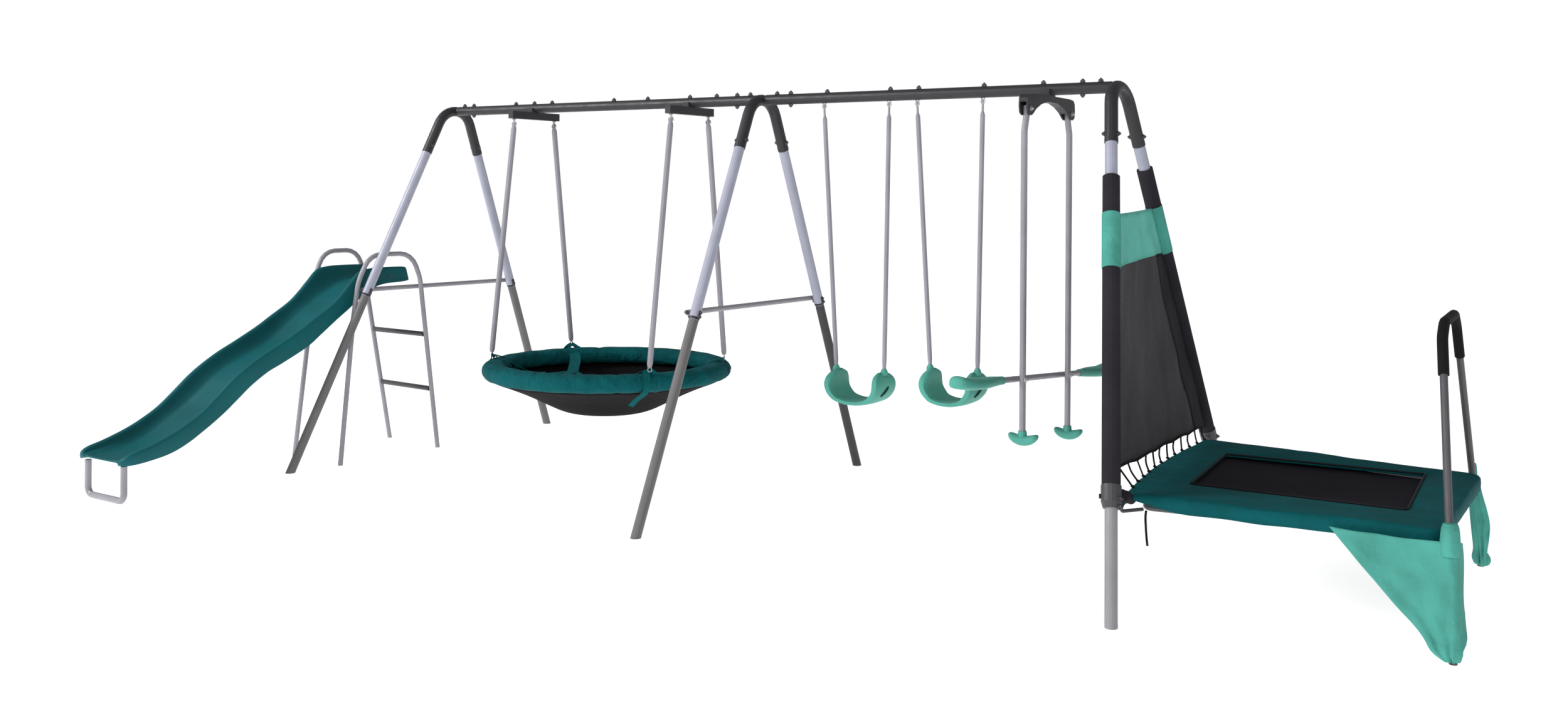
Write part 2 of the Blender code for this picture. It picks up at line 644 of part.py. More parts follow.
def build_glider_bar(hinges, paint_steel, mint_plastic):
    """The level bar and its two saddles."""
    offset = GLIDER_ARM_R + GLIDER_BAR_R + 0.0006
    x = GLIDER_X - offset
    carrier = pivot("glider_bar_pivot", (GLIDER_X, -GLIDER_ARM_Y, GLIDER_BAR_Z[0]), hinges["near"])
    inner, outer = GLIDER_SEAT_Y
    ends = [(x, y, bar_height(y)) for y in (-outer + 0.06, outer - 0.06)]
    tube("glider_bar", ends, GLIDER_BAR_R, paint_steel, GLIDER_BAR_R - 0.0016, sides=12, parent=carrier)
    for side, word in ((-1, "near"), (1, "far")):
        # y, half width, top above the bar, bottom below the bar
        stations = [
            (inner, 0.0165, 0.0150, 0.0150),
            (inner + 0.060, 0.022, 0.0170, 0.0180),
            (inner + 0.120, 0.034, 0.0190, 0.0210),
            (inner + 0.190, 0.048, 0.0200, 0.0230),
            (inner + 0.280, 0.050, 0.0210, 0.0230),
            (outer - 0.040, 0.042, 0.0300, 0.0200),
            (outer - 0.012, 0.034, 0.0310, 0.0170),
            (outer, 0.026, 0.0220, 0.0120),
        ]
        rows = []
        for y, w, up, down in stations:
            z = bar_height(side * y)
            ring = []
            for i in range(12):
                a = 2 * math.pi * i / 12
                s = math.sin(a)
                ring.append(Vector((x + w * math.cos(a), side * y, z + (up if s > 0 else down) * s)))
            rows.append(ring)
        seat = ring_loft(
            f"glider_seat_{word}", rows, mint_plastic, (x, side * inner, bar_height(side * inner)), carrier
        )
        a, b = (Vector((x, side * y, bar_height(side * y))) for y in (inner - 0.03, outer - 0.0597))
        combine(seat, tube("cutter", [a, b], GLIDER_BAR_R + 0.0004, mint_plastic, sides=12), "DIFFERENCE")


# ---- the trampoline ---------------------------------------------------------------------------------------------
def rounded_loop(corners, radius, segments=4):
    """Corner points of a closed outline, each rounded, as (x, y, z)."""
    corners = [Vector((c[0], c[1], c[2] if len(c) > 2 else 0.0)) for c in corners]
    out = []
    count = len(corners)
    for i, here in enumerate(corners):
        piece = fillet([corners[i - 1], here, corners[(i + 1) % count]], radius, segments)
        out += piece[1:-1]
    return out


def build_trampoline(paint_dark, teal_fabric, black_fabric, mint_fabric, foam_black, sleeve_fabric):
    """Tube frame, mat, cover pad, handle with legs, grip, net, leg sleeves, collars and corner cloths."""
    z = TRAMP_FRAME_Z
    corners = [Vector((x, y, z)) for x, y in TRAMP_CORNERS]
    start = corners[0].lerp(corners[3], 0.5)
    loop = [start + Vector((0, -0.0010, 0))] + corners + [start + Vector((0, 0.0010, 0))]
    path = fillet(loop, [0.030, 0.045, 0.045, 0.030], 4)
    tube("trampoline_frame", path, TRAMP_FRAME_R, paint_dark, TRAMP_FRAME_R - 0.0014, sides=10)

    middle = (corners[0] + corners[2]) / 2
    rows = []
    for i in range(5):
        v = i / 4
        row = []
        for j in range(7):
            u = j / 6
            spot = corners[0].lerp(corners[1], u).lerp(corners[3].lerp(corners[2], u), v)
            spot = spot + Vector(((middle.x - spot.x) * 0.085, (middle.y - spot.y) * 0.070, 0.0))
            sag = 0.010 * math.sin(math.pi * u) * math.sin(math.pi * v)
            row.append((spot.x, spot.y, z + 0.003 - sag))
        rows.append(row)
    thick_sheet("trampoline_mat", rows, 0.003, black_fabric, (2.4, 0, z))

    outer = rounded_loop(PAD_OUTER, 0.035, 4)
    inner = rounded_loop(PAD_INNER, 0.035, 4)
    profile = [
        (0.000, -0.036), (0.000, -0.009), (0.050, 0.000), (0.350, 0.003), (0.700, 0.003), (0.940, 0.000),
        (1.000, -0.006), (0.940, -0.012), (0.500, -0.012), (0.060, -0.014), (0.045, -0.036),
    ]
    sections = []
    for o, n in zip(outer, inner):
        section = []
        for share, dz in profile:
            p = o.lerp(n, share)
            section.append(Vector((p.x, p.y, PAD_Z + p.z + dz)))
        sections.append(section)
    loop_loft("trampoline_pad", sections, teal_fabric, (2.4, 0, PAD_Z))

    handle = [
        (2.966, -0.640, 0.0), (2.945, -0.556, 0.335), (2.880, -0.248, 0.946), (2.876, -0.170, 0.990),
        (2.864, 0.170, 0.992), (2.862, 0.248, 0.945), (2.886, 0.545, 0.335), (2.906, 0.622, 0.0),
    ]
    path = fillet(handle, [0.25, 0.07, 0.08, 0.08, 0.07, 0.25], 3)
    verts, faces = tube_mesh(path, HANDLE_R, HANDLE_R - 0.0014, 12)
    for vert in verts:
        if vert.z < 0.02:
            vert.z = 0.0
    add_object("trampoline_handle", verts, faces, paint_dark, handle[0])
    low_near = Vector(handle[2]).lerp(Vector(handle[1]), 0.190)
    low_far = Vector(handle[5]).lerp(Vector(handle[6]), 0.190)
    grip = fillet([low_near] + handle[2:6] + [low_far], [0.07, 0.08, 0.08, 0.07], 3)
    tube("handle_grip", grip, 0.0175, foam_black, HANDLE_R + 0.0012, sides=12)

    for side, word in ((-1, "near"), (1, "far")):
        low, high = SLEEVE_Z[word]
        path = [leg_point("right", side, h) for h in (high, low)]
        tube(f"leg_sleeve_{word}", path, SLEEVE_R, sleeve_fabric, SLEEVE_BORE)
        low, high = COLLAR_Z[word]
        path = [leg_point("right", side, h) for h in (high, high - 0.020, low + 0.018, low)]
        verts, faces = tube_mesh(path, [0.0352, 0.0352, 0.0345, 0.0285], 0.0230, 16)
        collar = add_object(f"leg_collar_{word}", verts, faces, paint_dark, path[0])
        wall = leg_point("right", side, low + 0.028) - Vector((0.0, side * 0.030, 0.0))
        corner = corners[0] if side < 0 else corners[3]
        inward = Vector((corner.x - wall.x, corner.y - wall.y, 0)).normalized()
        end = Vector((corner.x, corner.y, z - 0.008)) - inward * (TRAMP_FRAME_R - 0.006)
        knee = wall + inward * 0.022
        lug = [wall, knee, Vector((knee.x, knee.y, z - 0.008)) + inward * 0.010, end]
        combine(collar, tube("lug", fillet(lug, 0.006, 3), 0.0065, paint_dark, sides=8), "UNION")

    rows = []
    for i in range(9):
        share = i / 8
        near_z = 1.335 + (0.462 - 1.335) * share
        far_z = 1.318 + (0.418 - 1.318) * share
        a = leg_point("right", -1, near_z) + Vector((0.0, SLEEVE_R + 0.0075, 0.0))
        b = leg_point("right", 1, far_z) - Vector((0.0, SLEEVE_R + 0.0075, 0.0))
        rows.append([a.lerp(b, j / 6) for j in range(7)])
    thick_sheet("net_panel", rows, 0.003, sleeve_fabric, rows[0][0])

    # corner cloths: from the pad's edge down to the foot, folded round the leg; the far one hangs in a narrow strip
    for side, word, reach, tail in ((-1, "near", 0.335, 0.085), (1, "far", 0.050, 0.030)):
        rows = []
        for i in range(7):
            v = i / 6
            height = 0.329 * (1 - v) + 0.006 * v
            leg = Vector(handle[0 if side < 0 else 7]).lerp(Vector(handle[1 if side < 0 else 6]), height / 0.335)
            gap = HANDLE_R + 0.0045
            width = reach * (1 - v) ** 0.95 + 0.020
            face_y = leg.y + side * gap
            row = [
                Vector((leg.x - width, face_y, height)),
                Vector((leg.x - width * 0.66, face_y, height)),
                Vector((leg.x - width * 0.33, face_y, height)),
                Vector((leg.x + gap * 0.55, face_y, height)),
                Vector((leg.x + gap, face_y - side * gap * 0.45, height)),
                Vector((leg.x + gap, leg.y, height)),
                Vector((leg.x + gap, leg.y - side * (gap + tail), height)),
            ]
            rows.append(row)
        thick_sheet(f"corner_cloth_{word}", rows, 0.003, mint_fabric, rows[0][0])

    # starts under the frame's near corner
    route = [
        (2.0060, -0.5900, 0.3230), (2.0065, -0.5960, 0.3150), (2.0070, -0.6000, 0.3000), (2.0085, -0.6020, 0.2800),
        (2.0105, -0.6030, 0.2550), (2.0125, -0.6030, 0.2300), (2.0150, -0.6020, 0.2070),
    ]
    curve = bpy.data.curves.new("hanging_strap", "CURVE")
    curve.dimensions = "3D"
    curve.bevel_depth = 0.0042
    curve.bevel_resolution = 2
    curve.use_fill_caps = True
    spline = curve.splines.new("POLY")
    spline.points.add(len(route) - 1)
    for point, place in zip(spline.points, route):
        point.co = (*place, 1.0)
    curve.materials.append(black_fabric)
    strap = bpy.data.objects.new("hanging_strap", curve)
    bpy.context.scene.collection.objects.link(strap)


def main():
    clear_scene()
    paint_dark = material("paint_charcoal", CHARCOAL, 0.45, 0.2)
    paint_light = material("paint_lavender_grey", LAVENDER, 0.45, 0.2)
    paint_taupe = material("paint_taupe", TAUPE, 0.45, 0.2)
    paint_steel = material("paint_grey", STEEL, 0.45, 0.2)
    teal_plastic = material("plastic_teal", TEAL, 0.45)
    mint_plastic = material("plastic_mint", MINT, 0.5)
    teal_fabric = material("fabric_teal", TEAL, 0.7)
    mint_fabric = material("fabric_mint", MINT, 0.8)
    black_fabric = material("fabric_black", BLACK, 0.85)
    sleeve_fabric = material("fabric_charcoal", (0.035, 0.033, 0.036), 0.85)
    grey_sleeve = material("rope_sleeve_grey", STEEL, 0.6)
    foam_black = material("foam_black", BLACK, 0.8)

    build_frames(paint_dark, paint_light, paint_taupe, paint_steel)
    build_slide(teal_plastic, paint_steel, paint_dark)
    build_saucer(paint_dark, grey_sleeve, teal_fabric, black_fabric, paint_steel)
    for word in SWINGS:
        build_sling(word, grey_sleeve, mint_plastic)
    hinges = build_glider(paint_dark, paint_steel, mint_plastic)
    build_glider_bar(hinges, paint_steel, mint_plastic)
    build_trampoline(paint_dark, teal_fabric, black_fabric, mint_fabric, foam_black, sleeve_fabric)
    for obj in bpy.data.objects:
        if obj.parent is None:
            obj.location = obj.location - Vector((*ORIGIN, 0.0))


main()
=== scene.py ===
"""Look of the backyard swing set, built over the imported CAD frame."""

import math

import bmesh
import bpy
from mathutils import Matrix, Vector, noise


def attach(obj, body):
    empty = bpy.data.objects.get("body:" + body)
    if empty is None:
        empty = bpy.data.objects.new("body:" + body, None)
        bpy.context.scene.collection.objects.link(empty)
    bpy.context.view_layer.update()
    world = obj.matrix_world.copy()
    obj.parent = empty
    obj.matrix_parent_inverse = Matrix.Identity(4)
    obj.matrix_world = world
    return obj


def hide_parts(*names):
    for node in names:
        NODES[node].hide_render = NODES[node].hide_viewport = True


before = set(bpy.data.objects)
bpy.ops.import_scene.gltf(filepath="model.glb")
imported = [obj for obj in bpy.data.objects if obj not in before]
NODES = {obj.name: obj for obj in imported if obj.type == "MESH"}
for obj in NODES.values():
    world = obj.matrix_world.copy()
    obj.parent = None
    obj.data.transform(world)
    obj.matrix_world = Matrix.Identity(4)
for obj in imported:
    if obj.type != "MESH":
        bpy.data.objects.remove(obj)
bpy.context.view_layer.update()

SCENE = bpy.context.scene

# The layout is measured from the ground under the middle apex; the part's origin is the middle of
# its footprint.
ORIGIN = Vector((0.207, -0.434, 0.0))
SIDES = ((-1, "near"), (1, "far"))


def at(x, y, z):
    """A point of the layout, in the row frame."""
    return Vector((x, y, z)) - ORIGIN


# ---- camera -----------------------------------------------------------------
def add_camera():
    yaw, roll = math.radians(33.273), math.radians(0.391)
    forward = Vector((-math.sin(yaw), math.cos(yaw), 0.0))
    level = Vector((math.cos(yaw), math.sin(yaw), 0.0))
    up = Vector((0.0, 0.0, 1.0))
    right = level * math.cos(roll) + up * math.sin(roll)
    top = up * math.cos(roll) - level * math.sin(roll)
    data = bpy.data.cameras.new("camera")
    data.lens = 31.148
    data.sensor_width = 36.0
    data.shift_y = -0.1058
    data.clip_end = 100.0
    camera = bpy.data.objects.new("camera", data)
    place = at(3.515, -5.169, 1.416)
    axes = (right, top, -forward)
    rows = [[axes[c][r] for c in range(3)] + [place[r]] for r in range(3)]
    camera.matrix_world = Matrix(rows + [[0, 0, 0, 1]])
    SCENE.collection.objects.link(camera)
    SCENE.camera = camera


# ---- materials --------------------------------------------------------------
def linear(code):
    """Scene-linear colour of a #RRGGBB code."""
    out = []
    for i in (1, 3, 5):
        c = int(code[i : i + 2], 16) / 255
        out.append(c / 12.92 if c <= 0.04045 else ((c + 0.055) / 1.055) ** 2.4)
    return (*out, 1.0)


class Nodes:
    """A node tree written in short lines."""

    def __init__(self, name):
        self.mat = bpy.data.materials.new(name)
        self.mat.use_nodes = True
        self.tree = self.mat.node_tree
        self.shader = self.tree.nodes["Principled BSDF"]

    def add(self, kind, **values):
        node = self.tree.nodes.new(kind)
        for key, value in values.items():
            if key in node.inputs:
                node.inputs[key].default_value = value
            else:
                setattr(node, key, value)
        return node

    def link(self, a, b):
        self.tree.links.new(a, b)

    def noise(self, scale, detail=3.0):
        node = self.add("ShaderNodeTexNoise", Scale=scale, Detail=detail)
        self.link(self.place(), node.inputs["Vector"])
        return node.outputs["Fac"]

    def place(self):
        for node in self.tree.nodes:
            if node.type == "TEX_COORD":
                return node.outputs["Object"]
        return self.add("ShaderNodeTexCoord").outputs["Object"]

    def ramp(self, value, low, high, a=0.3, b=0.7):
        ends = {"From Min": a, "From Max": b, "To Min": low, "To Max": high}
        node = self.add("ShaderNodeMapRange", **ends)
        self.link(value, node.inputs["Value"])
        return node.outputs["Result"]

    def mix(self, value, colour_a, colour_b):
        node = self.add("ShaderNodeMix", data_type="RGBA")
        for socket, item in ((node.inputs[6], colour_a), (node.inputs[7], colour_b)):
            if isinstance(item, bpy.types.NodeSocket):
                self.link(item, socket)
            else:
                socket.default_value = item
        self.link(value, node.inputs[0])
        return node.outputs[2]

    def bump(self, height, strength, distance, under=None):
        node = self.add("ShaderNodeBump", Strength=strength, Distance=distance)
        self.link(height, node.inputs["Height"])
        if under is not None:
            self.link(under, node.inputs["Normal"])
        return node.outputs["Normal"]

    def finish(self, colour, roughness, normal, **values):
        for socket, item in (("Base Color", colour), ("Roughness", roughness), ("Normal", normal)):
            if item is None:
                continue
            if isinstance(item, bpy.types.NodeSocket):
                self.link(item, self.shader.inputs[socket])
            else:
                self.shader.inputs[socket].default_value = item
        for key, value in values.items():
            self.shader.inputs[key.replace("_", " ")].default_value = value
        return self.mat


def shade(code, factor):
    """A colour made lighter or darker."""
    return (*(c * factor for c in linear(code)[:3]), 1.0)


def paint(name, code, roughness=0.42, metallic=0.0):
    """Powder coat: faint orange peel, uneven gloss, and slightly worn tone."""
    n = Nodes(name)
    tone = n.mix(n.ramp(n.noise(9.0), 0.0, 1.0), shade(code, 0.92), shade(code, 1.08))
    rough = n.ramp(n.noise(26.0), roughness - 0.06, roughness + 0.08)
    normal = n.bump(n.noise(900.0, 2.0), 0.10, 0.0004)
    return n.finish(
        tone, rough, normal, Metallic=metallic, Specular_IOR_Level=0.4, Coat_Weight=0.05, Coat_Roughness=0.3
    )


def plastic(name, code, roughness):
    """Moulded plastic: fine grain and a slight change of tone."""
    n = Nodes(name)
    tone = n.mix(n.ramp(n.noise(5.0), 0.0, 1.0), shade(code, 0.90), shade(code, 1.10))
    rough = n.ramp(n.noise(40.0), roughness - 0.05, roughness + 0.08)
    normal = n.bump(n.noise(420.0, 4.0), 0.16, 0.0006)
    return n.finish(tone, rough, normal, Specular_IOR_Level=0.2)


def cloth(name, code, weave, roughness, crease):
    """Woven cloth: two crossed sets of threads and soft creases."""
    n = Nodes(name)
    height = None
    for axis in ("X", "Z"):
        wave = n.add("ShaderNodeTexWave", Scale=weave / 20.0, Distortion=0.3, bands_direction=axis)
        n.link(n.place(), wave.inputs["Vector"])
        if height is None:
            height = wave.outputs["Fac"]
        else:
            both = n.add("ShaderNodeMath", operation="ADD")
            n.link(height, both.inputs[0])
            n.link(wave.outputs["Fac"], both.inputs[1])
            height = both.outputs[0]
    tone = n.mix(n.ramp(n.noise(7.0, 4.0), 0.0, 1.0), shade(code, 0.86), shade(code, 1.12))
    folds = n.bump(n.noise(14.0, 3.0), crease, 0.012)
    normal = n.bump(height, 0.18, 0.0006, folds)
    return n.finish(tone, roughness, normal, Specular_IOR_Level=0.12)


def mesh_cloth(name, code, hole=0.0045):
    """Net cloth: a fine square grid in the tone and the bump, and paler patches."""
    n = Nodes(name)
    split = n.add("ShaderNodeSeparateXYZ")
    n.link(n.place(), split.inputs[0])
    bars = []
    for axis in ("Y", "Z"):
        turn = n.add("ShaderNodeMath", operation="MULTIPLY")
        turn.inputs[1].default_value = 2 * math.pi / hole
        n.link(split.outputs[axis], turn.inputs[0])
        wave = n.add("ShaderNodeMath", operation="SINE")
        n.link(turn.outputs[0], wave.inputs[0])
        bars.append(wave.outputs[0])
    top = n.add("ShaderNodeMath", operation="MAXIMUM")
    n.link(bars[0], top.inputs[0])
    n.link(bars[1], top.inputs[1])
    tone = n.mix(n.ramp(top.outputs[0], 0.0, 1.0, -0.6, 0.6), shade(code, 0.62), shade(code, 1.2))
    tone = n.mix(n.ramp(n.noise(2.6, 4.0), 0.0, 0.22), tone, shade("#55545A", 1.0))
    normal = n.bump(top.outputs[0], 0.3, 0.0006, n.bump(n.noise(3.0), 0.5, 0.03))
    return n.finish(tone, 0.85, normal, Specular_IOR_Level=0.25, Sheen_Weight=0.05)


def zinc(name):
    """Plated bolts and hooks."""
    n = Nodes(name)
    tone = n.mix(n.ramp(n.noise(60.0), 0.0, 1.0), linear("#8E8D90"), linear("#C4C3C6"))
    return n.finish(tone, n.ramp(n.noise(120.0), 0.25, 0.45), None, Metallic=0.85)


LOOKS = {
    paint: {
        "charcoal": ("#222126", 0.5), "lavender": ("#9698A8",), "taupe": ("#5E5C5D", 0.5),
        # light_leg and dark_leg are the taupe leg paint made lighter and darker: painted light and painted
        # shade
        "light_leg": ("#858488", 0.5), "dark_leg": ("#302F33", 0.5), "grey": ("#85838A",),
        "rung": ("#3A393D", 0.5), "post": ("#4A494D", 0.5), "bolt": ("#46444A", 0.4, 0.5),
    },
    plastic: {
        "rope": ("#8A8890", 0.55), "teal": ("#005055", 0.55), "mint": ("#4A9486", 0.55),
        # slit is painted shade: the dark of a fold on the sling seats
        "dark": ("#17161B", 0.6), "slit": ("#0F2F2A", 0.6), "foam": ("#131214", 0.9),
    },
    # colour, weave, roughness, crease
    cloth: {
        "teal_cloth": ("#004E52", 900.0, 0.8, 0.9), "rim_cloth": ("#004C50", 900.0, 0.85, 2.4),
        # mint_band is a lighter copy of the mint cloth: painted light on the net's band, which the lamps
        # light from behind
        "mint_cloth": ("#4A968A", 1100.0, 0.9, 1.1), "mint_band": ("#63B3A6", 1100.0, 0.9, 0.8),
        "bowl": ("#0C0B0E", 500.0, 0.95, 0.25), "mat": ("#1D1A22", 700.0, 0.9, 0.2),
        "sleeve": ("#29272C", 1200.0, 0.92, 0.6), "cord": ("#151418", 2500.0, 0.9, 0.1),
    },
    mesh_cloth: {"net": ("#232126",)},
    zinc: {"zinc": ()},
}
M = {name: make(f"look_{name}", *spec) for make, group in LOOKS.items() for name, spec in group.items()}


def dress(name, *nodes):
    """Give CAD nodes a material."""
    for node in nodes:
        slots = NODES[node].data.materials
        slots.clear()
        slots.append(M[name])
        NODES[node].data.shade_smooth()
        NODES[node].data.set_sharp_from_angle(angle=math.radians(38))


# ---- mesh helpers -----------------------------------------------------------
def piece(name, shape, look, body="stand", smooth=40):
    """A visual piece from (vertices, faces) in the row frame, riding on a body."""
    verts, faces = shape
    mesh = bpy.data.meshes.new(name)
    mesh.from_pydata([tuple(v) for v in verts], [], faces)
    bm = bmesh.new()
    bm.from_mesh(mesh)
    bmesh.ops.recalc_face_normals(bm, faces=bm.faces)
    bm.to_mesh(mesh)
    bm.free()
    mesh.materials.append(M[look])
    mesh.shade_smooth()
    if smooth:
        mesh.set_sharp_from_angle(angle=math.radians(smooth))
    obj = bpy.data.objects.new(name, mesh)
    SCENE.collection.objects.link(obj)
    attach(obj, body)
    return obj


def curve_through(points, per):
    """Catmull-Rom through a list of points."""
    pts = [Vector(p) for p in points]
    pts = [pts[0] * 2 - pts[1]] + pts + [pts[-1] * 2 - pts[-2]]
    out = []
    for i in range(1, len(pts) - 2):
        a, b, c, d = pts[i - 1 : i + 3]
        for k in range(per):
            t = k / per
            out.append(
                0.5
                * (2 * b + (c - a) * t + (2 * a - 5 * b + 4 * c - d) * t * t + (3 * b - a - 3 * c + d) * t**3)
            )
    out.append(pts[-2])
    return out


def tube_parts(path, radius, sides=12, flat=1.0, close=True):
    """Vertices and faces of a round or flattened solid tube; radius may vary along the path."""
    path = [Vector(p) for p in path]
    verts, faces, normal = [], [], None
    for i, p in enumerate(path):
        tangent = (path[min(i + 1, len(path) - 1)] - path[max(i - 1, 0)]).normalized()
        if normal is None:
            helper = Vector((0, 0, 1)) if abs(tangent.z) < 0.9 else Vector((1, 0, 0))
            normal = tangent.cross(helper).normalized()
        normal = (normal - tangent * normal.dot(tangent)).normalized()
        other = tangent.cross(normal)
        r = radius[i] if isinstance(radius, (list, tuple)) else radius
        for k in range(sides):
            a = 2 * math.pi * k / sides
            verts.append(p + normal * (r * math.cos(a)) + other * (r * flat * math.sin(a)))
    for i in range(len(path) - 1):
        for k in range(sides):
            a, b = i * sides + k, i * sides + (k + 1) % sides
            faces.append((a, b, b + sides, a + sides))
    if close:
        faces.append(tuple(range(sides)))
        faces.append(tuple((len(path) - 1) * sides + k for k in range(sides)))
    return verts, faces


def join_parts(parts):
    """Many (vertices, faces) pairs as one."""
    verts, faces = [], []
    for v, f in parts:
        base = len(verts)
        verts += v
        faces += [tuple(base + i for i in face) for face in f]
    return verts, faces


def stick(a, b, radius, sides=12):
    """A straight round bar with small chamfers at its ends."""
    a, b = Vector(a), Vector(b)
    way = (b - a).normalized()
    c = min(radius * 0.25, (b - a).length * 0.2)
    return tube_parts([a, a + way * c, b - way * c, b], [radius - c, radius, radius, radius - c], sides)


def hex_bolt(place, way, across, head, washer, dome=True):
    """A washer with a hex nut and a domed end, standing on a surface."""
    place, way = Vector(place), Vector(way).normalized()
    parts = [stick(place - way * 0.002, place + way * 0.0015, washer, 16)]
    parts.append(stick(place, place + way * head, across, 6))
    if dome:
        parts.append(
            tube_parts(
                [place + way * head * 0.9, place + way * (head + 0.003), place + way * (head + 0.0055)],
                [across * 0.62, across * 0.55, across * 0.2],
                12,
            )
        )
    return join_parts(parts)


def bolt_pair(here, right, left, *sizes):
    """Two bolts facing away from each other along X, at two distances from a centre."""
    return [
        hex_bolt(here + Vector((right, 0, 0)), (1, 0, 0), *sizes),
        hex_bolt(here - Vector((left, 0, 0)), (-1, 0, 0), *sizes),
    ]


def squared(value, power):
    """A sine or cosine pushed outwards, which turns an ellipse into a rounded box."""
    return math.copysign(abs(value) ** power, value)


def ring_parts(sections):
    """Equal closed sections joined round a loop."""
    count, total = len(sections[0]), len(sections)
    verts = [p for s in sections for p in s]
    faces = []
    for i in range(total):
        j = (i + 1) % total
        for k in range(count):
            n = (k + 1) % count
            faces.append((i * count + k, i * count + n, j * count + n, j * count + k))
    return verts, faces


def loft_parts(sections):
    """Equal closed sections joined in a row and capped."""
    count = len(sections[0])
    verts = [p for s in sections for p in s]
    faces = []
    for i in range(len(sections) - 1):
        for k in range(count):
            n = (k + 1) % count
            faces.append((i * count + k, i * count + n, (i + 1) * count + n, (i + 1) * count + k))
    faces.append(tuple(range(count)))
    faces.append(tuple((len(sections) - 1) * count + k for k in range(count)))
    return verts, faces


def sheet_parts(rows, thickness):
    """A grid thickened to a closed sheet."""
    grid = [[Vector(p) for p in row] for row in rows]
    high, wide = len(grid), len(grid[0])
    front, back = [], []
    for i in range(high):
        for j in range(wide):
            up = grid[min(i + 1, high - 1)][j] - grid[max(i - 1, 0)][j]
            across = grid[i][min(j + 1, wide - 1)] - grid[i][max(j - 1, 0)]
            n = up.cross(across).normalized() * (thickness / 2)
            front.append(grid[i][j] + n)
            back.append(grid[i][j] - n)
    base = len(front)
    faces = []
    for i in range(high - 1):
        for j in range(wide - 1):
            a = i * wide + j
            faces.append((a, a + 1, a + wide + 1, a + wide))
            faces.append((base + a, base + a + wide, base + a + wide + 1, base + a + 1))
    rim = list(range(wide)) + [i * wide + wide - 1 for i in range(1, high)]
    rim += [(high - 1) * wide + j for j in range(wide - 2, -1, -1)]
    rim += [i * wide for i in range(high - 2, 0, -1)]
    for k, a in enumerate(rim):
        b = rim[(k + 1) % len(rim)]
        faces.append((a, base + a, base + b, b))
    return front + back, faces


# ---- the frame --------------------------------------------------------------
# x of each apex, and how far its near and far feet run out along X
RUNS = {"left": (-2.009, -0.193, -0.152), "middle": (0.0, 0.0, 0.0), "right": (1.689, 0.303, 0.193)}
APEX_Z = 1.83
FOOT_SPREAD = 0.892
SPREAD_PER_METRE = 0.444
BEAM_TOP, BEAM_LOW = 1.8540, 1.8060
BEAM_BOLTS_X = (
    -1.937, -1.868, -1.558, -1.427, -1.304, -0.890, -0.675, -0.417, -0.259, -0.141,
    -0.066, 0.083, 0.157, 0.351, 0.672, 0.810, 1.115, 1.377, 1.543, 1.618,
)
BOLTED_THROUGH_X = (-1.868, -0.141, 0.157, 1.543)


def leg(which, side, z):
    """Centre of a leg at a height; side -1 is near."""
    x, near, far = RUNS[which]
    run = near if side < 0 else far
    return at(x + run * (1 - z / APEX_Z), side * (FOOT_SPREAD - SPREAD_PER_METRE * z), z)


def dress_frame():
    dress("charcoal", "apex_left", "apex_middle", "apex_right", "beam_left", "beam_right")
    dress("charcoal", "saucer_bracket_left", "saucer_bracket_right", "glider_bracket")
    # two lower legs get copies of the taupe paint: a lighter one on the near right leg (painted light) and a
    # darker one on the far middle leg (painted shade)
    painted_light_and_shade_legs = {("middle", "far"): "dark_leg", ("right", "near"): "light_leg"}
    for which in RUNS:
        for side in ("near", "far"):
            dress("lavender", f"upper_leg_{which}_{side}")
            dress(painted_light_and_shade_legs.get((which, side), "taupe"), f"lower_leg_{which}_{side}")
    dress("grey", "crossbar_left", "crossbar_middle", "slide_foot", "slide_hoop_inner", "slide_hoop_outer")
    dress("rung", "slide_rung_upper", "slide_rung_lower", "leg_collar_near", "leg_collar_far")
    dress("grey", "glider_arm_near", "glider_arm_far", "glider_bar")
    dress("post", "trampoline_frame", "trampoline_handle")
    for end in ("left", "right"):
        dress("rope", f"saucer_rope_{end}_near", f"saucer_rope_{end}_far")
        dress("rope", f"sling_rope_one_{end}", f"sling_rope_two_{end}")


def add_bolts():
    """Bolts of the beam, the leg joints, the crossbars and the collars; a knob; rims on the tube ends."""
    parts = []
    for x in BEAM_BOLTS_X:
        parts.append(hex_bolt(at(x, 0, BEAM_TOP), (0, 0, 1), 0.0100, 0.010, 0.0120))
        if x in BOLTED_THROUGH_X:
            parts.append(hex_bolt(at(x, 0, BEAM_LOW), (0, 0, -1), 0.0095, 0.008, 0.0115))
    for which in RUNS:
        for side in (-1, 1):
            for z, r in ((1.640, 0.0262), (0.870, 0.0240)):
                if which == "right" and z < 1.0:
                    continue
                parts += bolt_pair(leg(which, side, z), r, r, 0.0085, 0.007, 0.0105)
    for which in ("left", "middle"):
        for side in (-1, 1):
            parts += bolt_pair(leg(which, side, 0.886), 0.0240, 0.0500, 0.0080, 0.006, 0.0105)
    # collars on the right legs: clamp bolts
    for side, z in ((-1, 0.385), (-1, 0.360), (1, 0.370)):
        here = leg("right", side, z) + Vector((0.034, side * 0.008, 0))
        parts.append(hex_bolt(here, (1, side * 0.2, 0), 0.008, 0.006, 0.010))
    piece("frame_bolts", join_parts(parts), "bolt", smooth=30)
    here = leg("right", -1, 0.386)
    shape = stick(here + Vector((-0.030, -0.012, 0)), here + Vector((-0.038, -0.015, 0)), 0.0085)
    piece("collar_knob", shape, "dark")
    # rims round the lower ends of the apex tubes and of the upper legs
    rims = []
    for which in RUNS:
        for side in (-1, 1):
            a, b = leg(which, side, 1.6035), leg(which, side, 1.622)
            rims.append(ring_band(a, b, 0.0262, 0.0248))
            if which != "right":
                a, b = leg(which, side, 0.857), leg(which, side, 0.868)
                rims.append(ring_band(a, b, 0.0242, 0.0226))
    piece("tube_rims", join_parts(rims), "charcoal")


